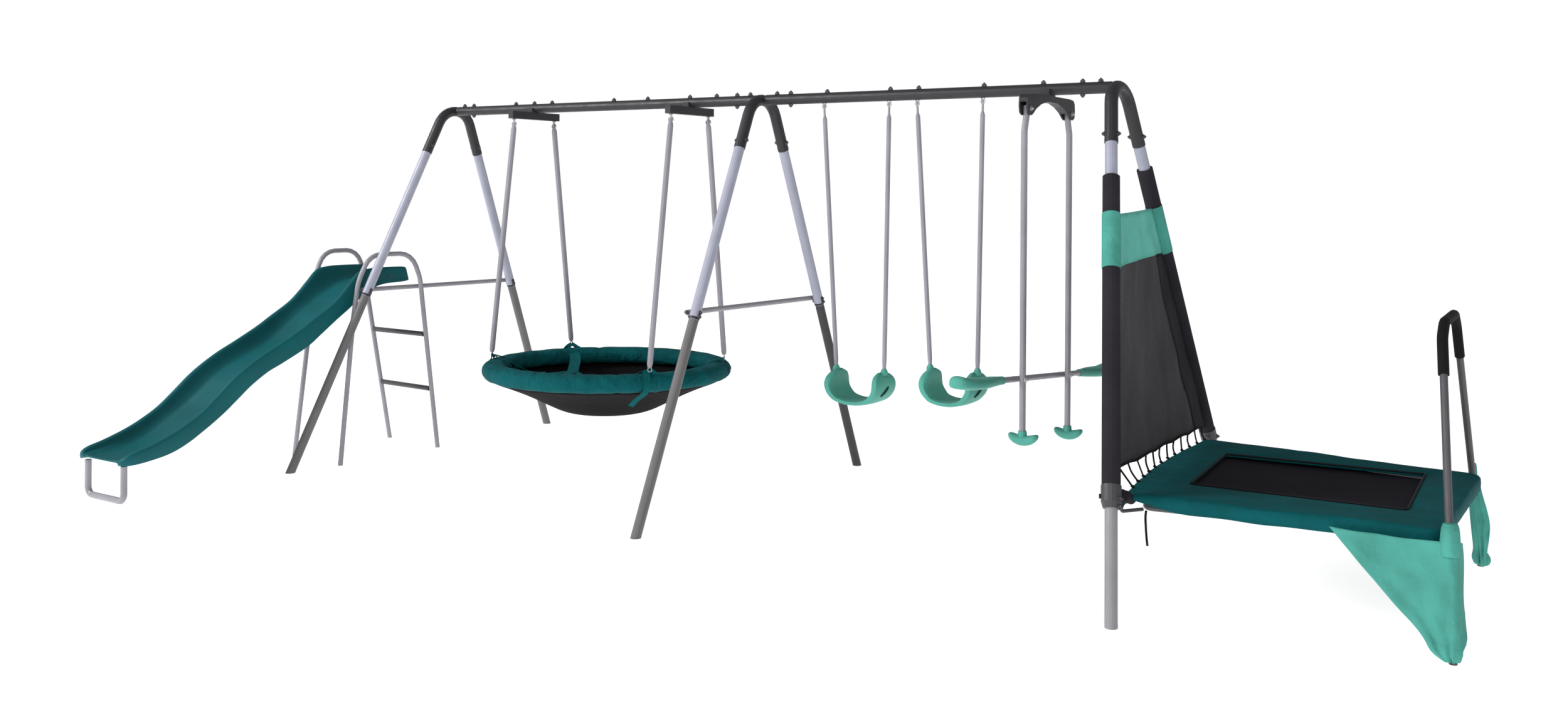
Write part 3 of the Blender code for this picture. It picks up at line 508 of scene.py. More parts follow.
def ring_band(a, b, outer, inner, sides=24):
    """A short sleeve round a tube."""
    a, b = Vector(a), Vector(b)
    way = (b - a).normalized()
    side = way.cross(Vector((1, 0, 0))).normalized()
    other = way.cross(side)
    sections = []
    lift = 0.0012
    for k in range(sides):
        t = 2 * math.pi * k / sides
        out = side * math.cos(t) + other * math.sin(t)
        low = [a + out * inner, a + out * (outer - lift), a + out * outer + way * lift]
        high = [b + out * outer - way * lift, b + out * (outer - lift), b + out * inner]
        sections.append(low + high)
    return ring_parts(sections)


# ---- the slide --------------------------------------------------------------
SLIDE_LEFT, SLIDE_RIGHT = -2.540, -2.176
# y, rim height, height of the wall's lower edge
CHUTE = [
    (-0.186, 0.984, 0.920), (-0.205, 0.993, 0.911), (-0.330, 0.995, 0.905), (-0.425, 0.992, 0.885),
    (-0.495, 0.975, 0.852), (-0.555, 0.918, 0.815), (-0.615, 0.858, 0.770), (-0.672, 0.812, 0.730),
    (-0.774, 0.752, 0.660), (-0.859, 0.702, 0.604), (-0.982, 0.640, 0.546), (-1.075, 0.596, 0.506),
    (-1.167, 0.543, 0.452), (-1.240, 0.492, 0.398), (-1.320, 0.424, 0.335), (-1.400, 0.361, 0.280),
    (-1.491, 0.310, 0.227), (-1.570, 0.276, 0.195), (-1.660, 0.246, 0.179), (-1.730, 0.228, 0.174),
    (-1.776, 0.212, 0.178),
]


def build_slide():
    """One smooth moulding: thick rounded walls, a dished floor, a rolled exit and a lip at the top."""
    line = curve_through(CHUTE, 6)
    left, right = SLIDE_LEFT, SLIDE_RIGHT
    sections = []
    last = len(line) - 1
    for i, p in enumerate(line):
        y, rim, low = p
        ahead, back = line[min(i + 1, last)], line[max(i - 1, 0)]
        slope = (ahead.z - back.z) / min(-1e-4, ahead.x - back.x)
        height = rim - low
        end = min(1.0, i / 5.0, (last - i) / 7.0)
        rounding = 1 - math.sqrt(max(0.0, 1 - (1 - end) ** 2))
        inset, drop = 0.022 * rounding, 0.014 * rounding
        half = [
            (0.0020, 0.004), (0.0, 0.014), (0.0, height * 0.50), (0.0, height * 0.86),
            (0.0025, height * 0.95), (0.0080, height * 0.995), (0.0150, height),
            (0.0220, height * 0.985), (0.0270, height * 0.93),
            (0.0300, height * 0.84), (0.0350, height * 0.62), (0.0430, 0.020 + height * 0.26),
            (0.0560, 0.020 + height * 0.10), (0.0760, 0.0205), (0.1150, 0.0195),
        ]
        half = [(dx, min(dz, height) - (drop if dz > height * 0.7 else 0.0)) for dx, dz in half]
        outline = [(right - dx - inset, dz) for dx, dz in half]
        outline += [((left + right) / 2, 0.0190)]
        outline += [(left + dx + inset, dz) for dx, dz in reversed(half)]
        outline += [(left + 0.012 + inset, 0.001), (left + 0.024 + inset, 0.013), (left + 0.115, 0.0125)]
        outline += [(right - 0.115, 0.0125), (right - 0.024 - inset, 0.013), (right - 0.012 - inset, 0.001)]
        tilt = math.atan(slope) * 0.55 * end
        section = []
        for x, dz in outline:
            lift = dz - height
            section.append(at(x, y - math.sin(tilt) * lift, rim + lift))
        sections.append(section)
    obj = piece("slide_moulding", loft_parts(sections), "teal", smooth=50)
    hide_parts("slide_bed")
    parts = []
    for x in (-2.5405, -2.1755):
        way = -1 if x < -2.4 else 1
        for y, z in ((-0.300, 0.945), (-0.405, 0.938)):
            parts.append(hex_bolt(at(x, y, z), (way, 0, 0), 0.0065, 0.0035, 0.009, dome=False))
    piece("slide_bolts", join_parts(parts), "rung", smooth=30)


# ---- the saucer swing -------------------------------------------------------
SAUCER = (-0.921, 0.0, 0.523)
RIM_RADIUS = 0.552
EYE_X, EYE_Y, EYE_Z = 0.5045, 0.2925, 0.582


def build_saucer():
    """Padded rim with seams, a hanging cloth bowl, webbing, the ropes' eyes and the hooks above."""
    cx, cy, cz = SAUCER
    sections = []
    around = 160
    for i in range(around):
        a = 2 * math.pi * i / around
        out = Vector((math.cos(a), math.sin(a), 0))
        puff = 1.0 + 0.018 * math.sin(a * 23) + 0.024 * noise.noise(out * 7)
        seam = min(abs(((a / (math.pi / 2)) % 1) - 0.5), 0.03) / 0.03
        half_w, half_h = 0.060 * puff, 0.043 * (0.90 + 0.10 * seam) * puff
        centre = Vector((cx, cy, cz)) + out * RIM_RADIUS
        section = []
        for k in range(20):
            t = 2 * math.pi * k / 20
            w = half_w * squared(math.cos(t), 0.82)
            h = half_h * squared(math.sin(t), 0.88)
            p = centre + out * w + Vector((0, 0, h))
            section.append(at(*p))
        sections.append(section)
    rim = piece("saucer_pad", ring_parts(sections), "rim_cloth", "saucer", smooth=0)
    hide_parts("saucer_rim_pad")
    # bowl
    rows = []
    dish = curve_through((
        (0.010, 0, 0.2130), (0.150, 0, 0.209), (0.225, 0, 0.195), (0.300, 0, 0.161), (0.400, 0, 0.111),
        (0.500, 0, 0.068), (0.555, 0, 0.047), (0.5720, 0, 0.032),
    ), 4)
    steps, turn = len(dish) - 1, 72
    for i in range(steps + 1):
        r, drop = dish[i].x, dish[i].z - 0.004
        row = []
        for k in range(turn + 1):
            a = 2 * math.pi * k / turn
            ripple = 0.0012 * math.sin(a * 12) * (i / steps) ** 3
            row.append(at(cx + r * math.cos(a), cy + r * math.sin(a), cz - 0.004 - drop + ripple))
        rows.append(row)
    bowl = piece("saucer_cloth", bowl_parts(rows, 0.004), "bowl", "saucer", smooth=0)
    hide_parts("saucer_bowl")
    # webbing from each rope's eye down round the rim
    straps, eyes = [], []
    for sx in (-1, 1):
        for sy in (-1, 1):
            eye = Vector((cx + sx * EYE_X, sy * EYE_Y, EYE_Z))
            side = Vector((sx * 0.507, sy * EYE_Y, 0)).normalized()
            for turn_by in (-0.055, 0.055):
                spin = Matrix.Rotation(turn_by, 3, "Z")
                out = spin @ side
                core = Vector((cx, 0, cz)) + out * RIM_RADIUS
                path = [eye + Vector((0, 0, 0.004))]
                for deg in (62, 30, 0, -40, -90, -140, -180, -220, -252):
                    t = math.radians(deg)
                    path.append(core + out * (0.0635 * math.cos(t)) + Vector((0, 0, 0.0470 * math.sin(t))))
                path.append(eye + Vector((0, 0, 0.004)))
                route = [at(*p) for p in curve_through(path, 3)]
                straps.append(ribbon(route, 0.0095, 0.0018, out.cross(Vector((0, 0, 1)))))
            ring = []
            along = side.cross(Vector((0, 0, 1)))
            for k in range(17):
                t = 2 * math.pi * k / 16
                lift = Vector((0, 0, 0.004 + 0.010 * math.sin(t)))
                ring.append(at(*(eye + along * (0.010 * math.cos(t)) + lift)))
            eyes.append(tube_parts(ring, 0.0024, 8, close=False))
    # wide webbing: from the rear left eye to a junction in the bowl, then branches to the front, the
    # right and the left
    meet = Vector((-1.205, 0.060, 0.478))
    for ends, half in (
        (((-1.375, 0.255, 0.552), (-1.300, 0.185, 0.520), meet), 0.028),
        ((meet, (-1.100, -0.180, 0.474), (-0.975, -0.395, 0.520), (-0.955, -0.440, 0.548)), 0.024),
        ((meet, (-0.960, -0.050, 0.452), (-0.640, -0.190, 0.500), (-0.500, -0.235, 0.546)), 0.024),
        ((meet, (-1.290, -0.110, 0.480), (-1.375, -0.225, 0.545)), 0.022),
    ):
        path = [at(*p) for p in curve_through(ends, 6)]
        way = path[-1] - path[0]
        straps.append(ribbon(path, half, 0.0035, way.cross(Vector((0, 0, 1)))))
    # loose end of the near right strap, hanging over the rim
    tail = (
        (-0.432, -0.300, 0.582), (-0.412, -0.318, 0.560), (-0.398, -0.330, 0.522), (-0.412, -0.330, 0.484),
        (-0.455, -0.335, 0.452), (-0.490, -0.338, 0.418),
    )
    path = [at(*p) for p in curve_through(tail, 5)]
    straps.append(ribbon(path, 0.015, 0.0032, Vector((0.53, 0.85, 0))))
    piece("saucer_straps", join_parts(straps), "teal_cloth", "saucer", smooth=30)
    piece("saucer_eyes", join_parts(eyes), "zinc", "saucer")
    for side, word in SIDES:
        shape = join_parts([eye_hook(at(x, side * 0.147, 1.738), 0.013, 1.772) for x in (-1.427, -0.417)])
        piece(f"saucer_hooks_{word}", shape, "zinc", "stand")


def bowl_parts(rows, thickness):
    """A dish made from rings, thickened downwards, with its own small central disc."""
    verts, faces = [], []
    high, wide = len(rows), len(rows[0]) - 1
    for drop in (0.0, thickness):
        for row in rows:
            verts += [p - Vector((0, 0, drop)) for p in row[:wide]]
    layer = high * wide
    for i in range(high - 1):
        for k in range(wide):
            n = (k + 1) % wide
            a, b, c, d = i * wide + k, i * wide + n, (i + 1) * wide + n, (i + 1) * wide + k
            faces.append((a, b, c, d))
            faces.append((layer + a, layer + d, layer + c, layer + b))
    for k in range(wide):
        n = (k + 1) % wide
        a, b = (high - 1) * wide + k, (high - 1) * wide + n
        faces.append((a, b, layer + b, layer + a))
    faces.append(tuple(reversed(range(wide))))
    faces.append(tuple(layer + k for k in range(wide)))
    return verts, faces


def ribbon(path, half_width, thickness, across):
    """A flat strap along a path, its width along the given direction."""
    across = Vector(across).normalized()
    sections = []
    for i, p in enumerate(path):
        way = (path[min(i + 1, len(path) - 1)] - path[max(i - 1, 0)]).normalized()
        wide = (across - way * across.dot(way)).normalized()
        up = wide.cross(way)
        h = thickness / 2
        sections.append(
            [p + wide * half_width + up * h, p - wide * half_width + up * h,
             p - wide * half_width - up * h, p + wide * half_width - up * h]
        )
    return loft_parts(sections)


def eye_hook(place, radius, top):
    """An eye under a bracket with its shank going up to it; the rope's hook passes through the eye."""
    ring = []
    for k in range(17):
        t = 2 * math.pi * k / 16
        ring.append(place + Vector((radius * math.sin(t), 0, radius * math.cos(t) + 0.006)))
    parts = [tube_parts(ring, 0.0032, 8, close=False)]
    parts.append(stick(place + Vector((0, 0, radius + 0.004)), Vector((place.x, place.y, top)), 0.0040))
    parts.append(stick(Vector((place.x, place.y, top - 0.008)), Vector((place.x, place.y, top)), 0.0085, 6))
    return join_parts(parts)


# ---- the sling swings -------------------------------------------------------
# shares of the belt's half width and half thickness round its edge
BELT_EDGE = (
    (-1.0, 0.0), (-0.97, 0.75), (-0.86, 1.05), (-0.5, 1.0), (0.0, 0.98), (0.5, 1.0),
    (0.86, 1.05), (0.97, 0.75), (1.0, 0.0), (0.97, -0.75), (0.86, -1.0), (0.5, -1.0),
    (0.0, -1.0), (-0.5, -1.0), (-0.86, -1.0), (-0.97, -0.75),
)
# points of the dark mark, painted shade of a fold: distance past the lug, y, drop below the lug
FOLD_SHADE_MARK = ((0.0040, -0.034, 0.100), (0.0090, -0.018, 0.087), (0.0130, 0.000, 0.073), (0.0145, 0.014, 0.062))
# x of the two hooks, x of the two lugs, height of the lugs
SLINGS = {"one": (0.336, 0.666, 0.408, 0.650, 0.626), "two": (0.803, 1.109, 0.873, 1.093, 0.662)}


def build_slings():
    """Moulded belt seats with a lobe at each end, a slanting dark mark of painted fold shade on each outer
    face, and the hooks above.
    """
    hooks = []
    for word, (hook_l, hook_r, lug_l, lug_r, lug_z) in SLINGS.items():
        mid, half = (lug_l + lug_r) / 2, (lug_r - lug_l) / 2
        # distance out, drop below the lug, half width, thickness
        shape = [
            (half - 0.015, 0.003, 0.024, 0.014), (half - 0.013, 0.010, 0.044, 0.022),
            (half - 0.010, 0.022, 0.068, 0.028), (half - 0.004, 0.042, 0.086, 0.031),
            (half - 0.002, 0.064, 0.092, 0.030), (half - 0.008, 0.088, 0.092, 0.028),
            (half - 0.024, 0.110, 0.091, 0.025), (half * 0.62, 0.126, 0.090, 0.021),
            (half * 0.34, 0.135, 0.090, 0.018), (half * 0.16, 0.1375, 0.090, 0.018),
        ]
        stations = [(mid - a, lug_z - b, c, d) for a, b, c, d in shape]
        stations += [(mid, lug_z - 0.138, 0.090, 0.018)]
        stations += [(mid + a, lug_z - b, c, d) for a, b, c, d in reversed(shape)]
        dense = curve_through([Vector((s[0], s[1], s[2])) for s in stations], 4)
        thick = curve_through([Vector((s[3], 0, 0)) for s in stations], 4)
        sections = []
        for i, p in enumerate(dense):
            way = dense[min(i + 1, len(dense) - 1)] - dense[max(i - 1, 0)]
            tangent = Vector((way.x, 0, way.y)).normalized()
            up = Vector((-tangent.z, 0, tangent.x))
            t, w = thick[i].x / 2, p.z
            ring = []
            for share, lift in BELT_EDGE:
                sag = 0.004 * share * share
                ring.append(at(p.x, w * share, p.y + sag) + up * (t * lift))
            sections.append(ring)
        shape = loft_parts(sections)
        seat = piece(f"sling_belt_{word}", shape, "mint", f"sling_{word}", smooth=50)
        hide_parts(f"sling_seat_{word}")
        # knobs where the ropes enter, and on the outer face of each lobe one slanting dark mark: painted
        # shade of a fold
        knobs, slots = [], []
        for x, out in ((lug_l, -1), (lug_r, 1)):
            spine = [at(x, 0, lug_z + d) for d in (-0.012, -0.004, 0.004, 0.012, 0.017)]
            knobs.append(tube_parts(spine, [0.014, 0.0165, 0.0160, 0.0125, 0.0095], 16))
            path = [at(mid + out * (half + d), y, lug_z - drop) for d, y, drop in FOLD_SHADE_MARK]
            slots.append(tube_parts(path, [0.0030, 0.0060, 0.0060, 0.0030], 10))
        piece(f"sling_knobs_{word}", join_parts(knobs), "mint", f"sling_{word}")
        piece(f"sling_slots_{word}", join_parts(slots), "slit", f"sling_{word}")
        for x in (hook_l, hook_r):
            hooks.append(eye_hook(at(x, 0, 1.785), 0.0085, 1.8075))
    piece("sling_hooks", join_parts(hooks), "zinc", "stand")


# ---- the glider -------------------------------------------------------------
ARM_X, ARM_Y = 1.396, 0.235
BAR_X = ARM_X - 0.0254
HANGER_Y, HANGER_Z = 0.215, 1.742


def bar_z(y):
    """Height of the bar, which is lower at its far end."""
    return 0.684 - 0.034 * (y + ARM_Y) / (2 * ARM_Y)


def build_glider():
    """Saddles with a raised grip end, crescent pegs with sockets, and pivot bolts."""
    for side, word in SIDES:
        # distance from the middle, half width, height above the bar and depth below it
        stations = [
            (0.375, 0.0165, 0.0160, 0.0160), (0.405, 0.0170, 0.0165, 0.0165), (0.440, 0.0200, 0.0180, 0.0190),
            (0.485, 0.030, 0.0190, 0.0205), (0.540, 0.043, 0.0195, 0.0225), (0.600, 0.050, 0.0200, 0.0235),
            (0.655, 0.050, 0.0205, 0.0235), (0.705, 0.046, 0.0225, 0.0215), (0.735, 0.040, 0.0285, 0.0185),
            (0.758, 0.034, 0.0315, 0.0160), (0.770, 0.024, 0.0230, 0.0110),
        ]
        if side > 0:
            stations = [(0.430 + (s[0] - 0.375) * 0.861, *s[1:]) for s in stations]
        dense = curve_through([Vector((s[0], s[1], s[2])) for s in stations], 4)
        under = curve_through([Vector((s[3], 0, 0)) for s in stations], 4)
        rows = []
        for i, p in enumerate(dense):
            y, w, up = p
            down = under[i].x
            z = bar_z(side * y)
            ring = []
            for k in range(24):
                t = 2 * math.pi * k / 24
                c, s = math.cos(t), math.sin(t)
                tall = (up if s > 0 else down) * squared(s, 0.7)
                ring.append(at(BAR_X + w * squared(c, 0.85), side * y, z + tall))
            rows.append(ring)
        shape = loft_parts(rows)
        seat = piece(f"glider_saddle_{word}", shape, "mint", "glider_beam", smooth=60)
        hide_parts(f"glider_seat_{word}")
        # crescent peg
        peg_z = 0.446 if side < 0 else 0.400
        rows = []
        for k in range(33):
            share = -1 + k / 16
            px = 1.400 + 0.060 * share
            pz = peg_z + 0.020 * share * share
            half_h = 0.0195 * math.sqrt(max(0.0, 1 - 0.92 * abs(share) ** 3.5))
            half_y = 0.024 * math.sqrt(max(0.0, 1 - 0.85 * share**8))
            ring = []
            for i in range(20):
                t = 2 * math.pi * i / 20
                c, s = math.cos(t), math.sin(t)
                ring.append(at(px, side * ARM_Y + half_y * squared(c, 0.8), pz + half_h * squared(s, 0.8)))
            rows.append(ring)
        peg = [loft_parts(rows)]
        z0 = peg_z + 0.014
        collar = [at(ARM_X, side * ARM_Y, z0 + d) for d in (-0.006, 0.0, 0.010, 0.020, 0.024, 0.024)]
        peg.append(tube_parts(collar, [0.0185, 0.0185, 0.0178, 0.0170, 0.0160, 0.0132], 20))
        shape = join_parts(peg)
        foot = piece(f"glider_footrest_{word}", shape, "mint", f"glider_{word}", smooth=50)
        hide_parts(f"glider_peg_{word}")
        here = at(ARM_X, side * ARM_Y, bar_z(side * ARM_Y))
        shape = join_parts(bolt_pair(here, 0.0128, 0.0378, 0.0085, 0.006, 0.0115))
        piece(f"glider_bar_bolt_{word}", shape, "zinc", f"glider_{word}", smooth=30)
        here = at(ARM_X, side * HANGER_Y, HANGER_Z)
        shape = join_parts(bolt_pair(here, 0.0188, 0.0188, 0.0080, 0.006, 0.0105))
        piece(f"glider_hanger_bolt_{word}", shape, "zinc", "stand", smooth=30)


# ---- the trampoline ---------------------------------------------------------
PAD_Z = 0.366
# how far the pad's edge beside the net bows outwards
BOW = 0.034
# corners: x, y, height above PAD_Z
PAD_OUTER = [(1.940, -0.640, 0.018), (2.918, -0.505, 0.004), (2.922, 0.500, 0.006), (1.866, 0.622, 0.010)]
PAD_INNER = [(2.062, -0.270, 0.001), (2.779, -0.256, 0.001), (2.736, 0.438, -0.005), (2.006, 0.402, -0.005)]


def rounded_outline(corners, radius, per_side=26, per_corner=8):
    """A closed outline with rounded corners and evenly spaced points."""
    corners = [Vector(c) for c in corners]
    out = []
    for i, here in enumerate(corners):
        before, after = corners[i - 1], corners[(i + 1) % 4]
        a, b = (before - here).normalized(), (after - here).normalized()
        start, end = here + a * radius, here + b * radius
        for k in range(per_corner + 1):
            t = k / per_corner
            out.append(start * (1 - t) ** 2 + here * (2 * t * (1 - t)) + end * t * t)
        stop = after + (here - after).normalized() * radius
        for k in range(1, per_side):
            out.append(end.lerp(stop, k / per_side))
    return out


def build_trampoline():
    """Cover pad with a bound inner edge, the mat with its tie, and the gathered corner."""
    outer, inner = rounded_outline(PAD_OUTER, 0.045), rounded_outline(PAD_INNER, 0.018)
    profile = [
        (0.002, -0.0500), (-0.004, -0.024), (0.004, -0.008), (0.030, -0.001), (0.070, 0.0015), (0.16, 0.002),
        (0.30, 0.002), (0.45, 0.0025), (0.62, 0.003), (0.78, 0.002), (0.90, 0.0005), (0.97, -0.002),
        (1.000, -0.007), (0.985, -0.012), (0.90, -0.0125), (0.50, -0.0125), (0.08, -0.0140), (0.05, -0.040),
        (0.03, -0.0500),
    ]
    sections = []
    for o, n in zip(outer, inner):
        section = []
        along = min(1.0, max(0.0, (o.y + 0.60) / 1.20))
        bow = max(0.0, math.sin(math.pi * along)) if o.x < 2.2 else 0.0
        o = o - Vector((BOW * bow, 0, 0))
        tied = (o.xy - Vector(PAD_OUTER[0]).xy).length
        gather = 1.0 - 0.62 * math.exp(-((tied / 0.13) ** 2))
        for share, dz in profile:
            p = o.lerp(n, share)
            flat = Vector((p.x, p.y, 0))
            wave = noise.noise(flat * 6.5) * 0.0045 + noise.noise(flat * 17.0) * 0.0018
            if dz > -0.010 and 0.02 < share < 0.95:
                dz = dz + wave
            hem = 0.0
            if dz < -0.04 and share < 0.04:
                hem = 0.003 * noise.noise(flat * 9.0 + Vector((3, 0, 0)))
            drop = dz * gather if dz < -0.02 else dz
            section.append(at(p.x, p.y, PAD_Z + p.z + drop + hem))
        sections.append(section)
    pad = piece("cover_pad", ring_parts(sections), "teal_cloth", smooth=0)
    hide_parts("trampoline_pad")
    # bound edge of the opening
    edge = [at(p.x, p.y, PAD_Z + p.z + 0.0005) for p in inner]
    shape = tube_parts(edge + [edge[0]], 0.0040, 8, close=False)
    piece("opening_binding", shape, "dark")
    dress("mat", "trampoline_mat")
    # small tie on the near side of the mat
    shape = stick(at(2.395, -0.236, 0.352), at(2.412, -0.236, 0.370), 0.006)
    piece("mat_tie", shape, "dark")
    # gathered corner tied to the near collar
    knot = []
    for dx, dy, dz, r in (
        (0.0, 0.0, 0.0, 0.026), (0.014, 0.022, 0.004, 0.023), (-0.012, -0.024, 0.002, 0.020),
        (-0.004, -0.006, -0.020, 0.019), (0.022, 0.042, -0.006, 0.019), (0.004, 0.012, 0.016, 0.016),
    ):
        here = at(1.940, -0.664, 0.370) + Vector((dx, dy, dz))
        heights = (-1.0, -0.85, -0.5, 0.0, 0.5, 0.85, 1.0)
        sizes = [r * math.sqrt(max(0.02, 1 - h * h)) for h in heights]
        knot.append(tube_parts([here + Vector((0, 0, h * r * 0.95)) for h in heights], sizes, 14))
    piece("corner_tie", join_parts(knot), "dark")


SLEEVE_RADIUS = 0.0345
# heights of the net's top and bottom corners
NET_NEAR_TOP, NET_NEAR_LOW = 1.334, 0.462
NET_FAR_TOP, NET_FAR_LOW = 1.352, 0.418


def net_point(u, share, shift=0.0):
    """A point of the net; u runs from the near leg to the far one, share from the top down."""
    near_z = NET_NEAR_TOP + (NET_NEAR_LOW - NET_NEAR_TOP) * share
    far_z = NET_FAR_TOP + (NET_FAR_LOW - NET_FAR_TOP) * share
    a = leg("right", -1, near_z) + Vector((0, SLEEVE_RADIUS, 0))
    b = leg("right", 1, far_z) - Vector((0, SLEEVE_RADIUS, 0))
    p = a.lerp(b, u)
    belly = 0.020 * math.sin(math.pi * u) * math.sin(math.pi * min(1.0, share))
    broad = Vector((u * 5.0 + share * 3.0, share * 4.0, 1.7))
    fine = Vector((u * 16.0 + share * 9.0, share * 7.0, 5.1))
    wrinkle = 0.007 * noise.noise(broad) * min(1.0, share * 6)
    wrinkle += 0.004 * noise.noise(fine) * min(1.0, share * 3)
    scallop = 0.006 * abs(math.sin(math.pi * u * 5)) * (share > 0.98)
    sag = 0.002 * math.sin(math.pi * u) * (1 - share) - scallop
    return p + Vector((-belly + wrinkle + shift, 0, -sag))


def net_rows(place, across, down, shift=0.0):
    """A grid of net points; place maps the two shares of the grid to u and share."""
    shares = [[(j / across, i / down) for j in range(across + 1)] for i in range(down + 1)]
    return [[net_point(*place(u, v), shift) for u, v in row] for row in shares]


def build_net():
    """Net between the leg sleeves, with a contrast band on top, a hem, and lacing down to the trampoline."""
    shape = sheet_parts(net_rows(lambda u, v: (u, v), 40, 30), 0.0022)
    net = piece("safety_net", shape, "net", smooth=0)
    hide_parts("net_panel")
    # contrast band, a sleeve of cloth over the top of the net that also wraps both leg sleeves
    for word, shift in (("front", 0.0025), ("back", -0.0025)):
        rows = net_rows(lambda u, v: (u, (0.2250 - 0.0300 * u) * v), 40, 8, shift)
        shape = sheet_parts(rows, 0.0016)
        # the band's cloth is painted lighter than the mint wraps: painted light, as this side of the net is
        # lit from behind
        band = piece(f"net_band_{word}", shape, "mint_band", smooth=0)
    rows = net_rows(lambda u, v: (0.87 + 0.13 * u, 0.196 + 0.804 * v), 6, 30, 0.0030)
    hem = piece("net_side_hem", sheet_parts(rows, 0.0018), "sleeve", smooth=0)
    for side, low, high, word in ((-1, 1.138, 1.336, "near"), (1, 1.175, 1.362, "far")):
        a, b = leg("right", side, low), leg("right", side, high)
        shape = ring_band(a, b, SLEEVE_RADIUS, 0.0328, 32)
        wrap = piece(f"sleeve_band_{word}", shape, "mint_cloth")
    dress("sleeve", "leg_sleeve_near", "leg_sleeve_far")
    # hem along the bottom, then the lacing
    laces = [tube_parts([net_point(j / 60, 1.0) for j in range(61)], 0.0055, 8)]
    a, b = Vector(PAD_OUTER[0]), Vector(PAD_OUTER[3])
    for k in range(12):
        u = 0.04 + 0.083 * k
        top = net_point(u, 1.0)
        low = a.lerp(b, min(0.97, 0.05 + u * 0.95))
        foot = at(low.x + 0.008 - BOW * math.sin(math.pi * u), low.y, PAD_Z + low.z + 0.003)
        mid = top.lerp(foot, 0.5) + Vector((-0.003, 0.006 * (-1) ** k, 0))
        laces.append(tube_parts(curve_through([top, mid, foot], 5), 0.0036, 6))
        knot = foot + Vector((0, 0, 0.001))
        spine = [knot - Vector((0, 0, 0.004)), knot, knot + Vector((0, 0, 0.005))]
        laces.append(tube_parts(spine, [0.004, 0.0085, 0.004], 8))
    piece("net_lacing", join_parts(laces), "cord")


KNEE_Z = 0.335
# foot and knee of each handle leg
HANDLE_FEET = {
    "near": ((2.966, -0.640, 0.0), (2.945, -0.556, KNEE_Z)),
    "far": ((2.906, 0.622, 0.0), (2.886, 0.545, KNEE_Z)),
}
SKIRT_TOP, SKIRT_LOW = 0.350, 0.010


def build_handle():
    """Grip foam, and the cloths and pockets that close the two outer corners."""
    dress("foam", "handle_grip")
    for word, side, turn, reach, tail, flat, area in (
        ("near", -1, 1, 0.335, 0.175, (0.55, 0.40), 0.146), ("far", 1, -1, 0.040, 0.026, (0.17, 0.40), 0.042)
    ):
        foot, knee = (Vector(p) for p in HANDLE_FEET[word])
        rows = []
        for i in range(37):
            v = i / 36
            height = SKIRT_TOP * (1 - v) + SKIRT_LOW * v
            here = foot.lerp(knee, min(1.0, height / KNEE_Z))
            pouch = math.exp(-(((v - 0.93) / 0.075) ** 2))
            gap = 0.0168 + 0.004 * math.sin(math.pi * v) + 0.010 * pouch
            width = reach * (1 - v) ** 0.96 + 0.018 + 0.012 * pouch
            if side > 0:
                width = reach * (0.45 + 0.55 * math.sin(math.pi * v) ** 2) + 0.010
            row = []
            for j in range(25):
                s = j / 24
                fold = 0.010 * noise.noise(Vector((s * 4.0, v * 6.0, 0.4 + side)))
                fold = fold + 0.007 * math.sin((s * 2.2 + v * 1.1) * 6.0) * s * (0.4 + v) + 0.006 * pouch
                fold = max(-0.002, fold) if s > 0.85 else fold
                sag = 0.004 * (1 - v) * math.sin(math.pi * s)
                off = 0.004 - width * (1 - s)
                row.append(at(here.x + turn * off, here.y - (gap + fold), height - sag))
            for deg in (25, 50, 75, 100, 125):
                t = math.radians(deg)
                row.append(at(here.x + turn * gap * math.sin(t), here.y - gap * math.cos(t), height))
            back = tail * (0.90 + 0.10 * math.sin(v * 9.0)) + 0.010 * pouch
            for k in range(1, 9):
                fold = 0.008 * math.sin(k * 1.1 + v * 8.0)
                fold += 0.005 * noise.noise(Vector((k * 0.5, v * 6.0, 2.4)))
                off = max(gap * 0.8 - 0.010 + max(-0.004, fold), 0.0145)
                droop = 0.040 * (1 - v) * k / 8
                row.append(at(here.x + turn * off, here.y + gap * 0.7 + back * k / 8, height - droop))
            rows.append(row)
        shape = sheet_parts(rows, 0.0024)
        cloth_piece = piece(f"corner_skirt_{word}", shape, "mint_cloth", smooth=0)
        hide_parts(f"corner_cloth_{word}")
        # pocket that slips over the leg at the pad's corner, and a knot at the far foot
        here = knee + (knee - foot).normalized() * 0.004
        low = at(*(knee - Vector((0, 0, 0.030))))
        high = at(*(here + Vector((0, side * -0.008, 0.064))))
        line = [low.lerp(high, k / 8) for k in range(9)]
        size = [0.0400, 0.0405, 0.0410, 0.0410, 0.0400, 0.0390, 0.0375, 0.0350, 0.0290]
        if side > 0:
            size = [0.55 * r for r in size]
        parts = [tube_parts(line, size, 24, flat=0.72)]
        if side > 0:
            base = at(foot.x + 0.008, foot.y - 0.004, 0.0)
            spine = [base + Vector((0, 0, h)) for h in (0.004, 0.010, 0.022, 0.036, 0.048, 0.060)]
            parts.append(tube_parts(spine, [0.012, 0.022, 0.027, 0.026, 0.019, 0.011], 16))
        piece(f"corner_pocket_{word}", join_parts(parts), "mint_cloth", smooth=60)


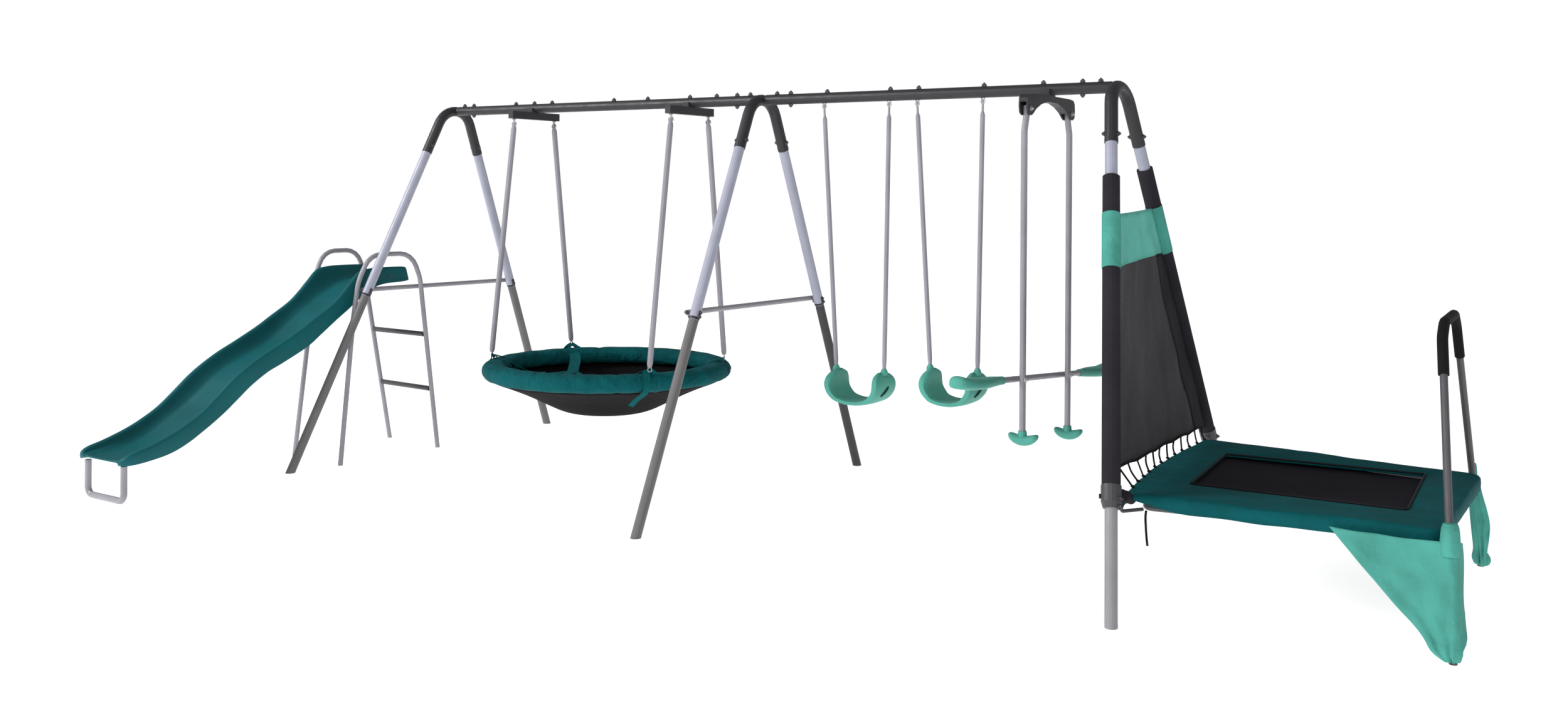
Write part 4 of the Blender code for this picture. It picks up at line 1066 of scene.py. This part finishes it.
def build_strap():
    """The loose end of the corner tie."""
    route = (
        (2.0060, -0.5900, 0.3230), (2.0065, -0.5960, 0.3150), (2.0070, -0.6000, 0.3000),
        (2.0085, -0.6020, 0.2800), (2.0105, -0.6030, 0.2550), (2.0125, -0.6030, 0.2300),
        (2.0150, -0.6020, 0.2070),
    )
    points = curve_through([at(*p) for p in route], 3)
    data = bpy.data.curves.new("loose_strap", "CURVE")
    data.dimensions = "3D"
    data.bevel_depth = 0.0042
    data.bevel_resolution = 3
    data.use_fill_caps = True
    spline = data.splines.new("POLY")
    spline.points.add(len(points) - 1)
    for point, place in zip(spline.points, points):
        point.co = (*place, 1.0)
    data.materials.append(M["cord"])
    strap = bpy.data.objects.new("loose_strap", data)
    SCENE.collection.objects.link(strap)
    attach(strap, "stand")
    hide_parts("hanging_strap")


# ---- studio -----------------------------------------------------------------
def add_studio():
    world = bpy.data.worlds.new("studio")
    world.use_nodes = True
    tree = world.node_tree
    room = tree.nodes["Background"]
    room.inputs[0].default_value = (1.0, 1.0, 1.0, 1.0)
    room.inputs[1].default_value = 0.34
    backdrop = tree.nodes.new("ShaderNodeBackground")
    backdrop.inputs[0].default_value = (1.0, 1.0, 1.0, 1.0)
    backdrop.inputs[1].default_value = 1.05
    rays, mix = tree.nodes.new("ShaderNodeLightPath"), tree.nodes.new("ShaderNodeMixShader")
    tree.links.new(rays.outputs["Is Camera Ray"], mix.inputs[0])
    tree.links.new(room.outputs[0], mix.inputs[1])
    tree.links.new(backdrop.outputs[0], mix.inputs[2])
    tree.links.new(mix.outputs[0], tree.nodes["World Output"].inputs[0])
    SCENE.world = world
    SCENE.view_settings.view_transform = "Standard"
    for name, place, size, power, aim in (
        ("key", (-6.0, -5.5, 5.5), 3.0, 640.0, (0.0, 0.0, 0.7)),
        ("fill", (4.0, -6.5, 4.0), 4.0, 230.0, (0.6, 0.0, 0.7)),
    ):
        data = bpy.data.lights.new(name, "AREA")
        data.size = size
        data.energy = power
        lamp = bpy.data.objects.new(name, data)
        lamp.location = place
        lamp.rotation_euler = (Vector(aim) - Vector(place)).to_track_quat("-Z", "Y").to_euler()
        SCENE.collection.objects.link(lamp)
    n = Nodes("floor")
    tone = n.mix(n.ramp(n.noise(0.6), 0.0, 1.0), (0.93, 0.93, 0.93, 1.0), (0.95, 0.95, 0.95, 1.0))
    mat = n.finish(tone, 0.9, None, Emission_Color=(1.0, 1.0, 1.0, 1.0), Emission_Strength=0.80)
    mesh = bpy.data.meshes.new("floor")
    corners = [(-30, -30, -0.001), (30, -30, -0.001), (30, 30, -0.001), (-30, 30, -0.001)]
    mesh.from_pydata(corners, [], [(0, 1, 2, 3)])
    mesh.materials.append(mat)
    floor = bpy.data.objects.new("floor", mesh)
    SCENE.collection.objects.link(floor)


add_camera()
build_strap()
dress_frame()
add_bolts()
build_slide()
build_saucer()
build_slings()
build_glider()
build_trampoline()
build_net()
build_handle()
add_studio()
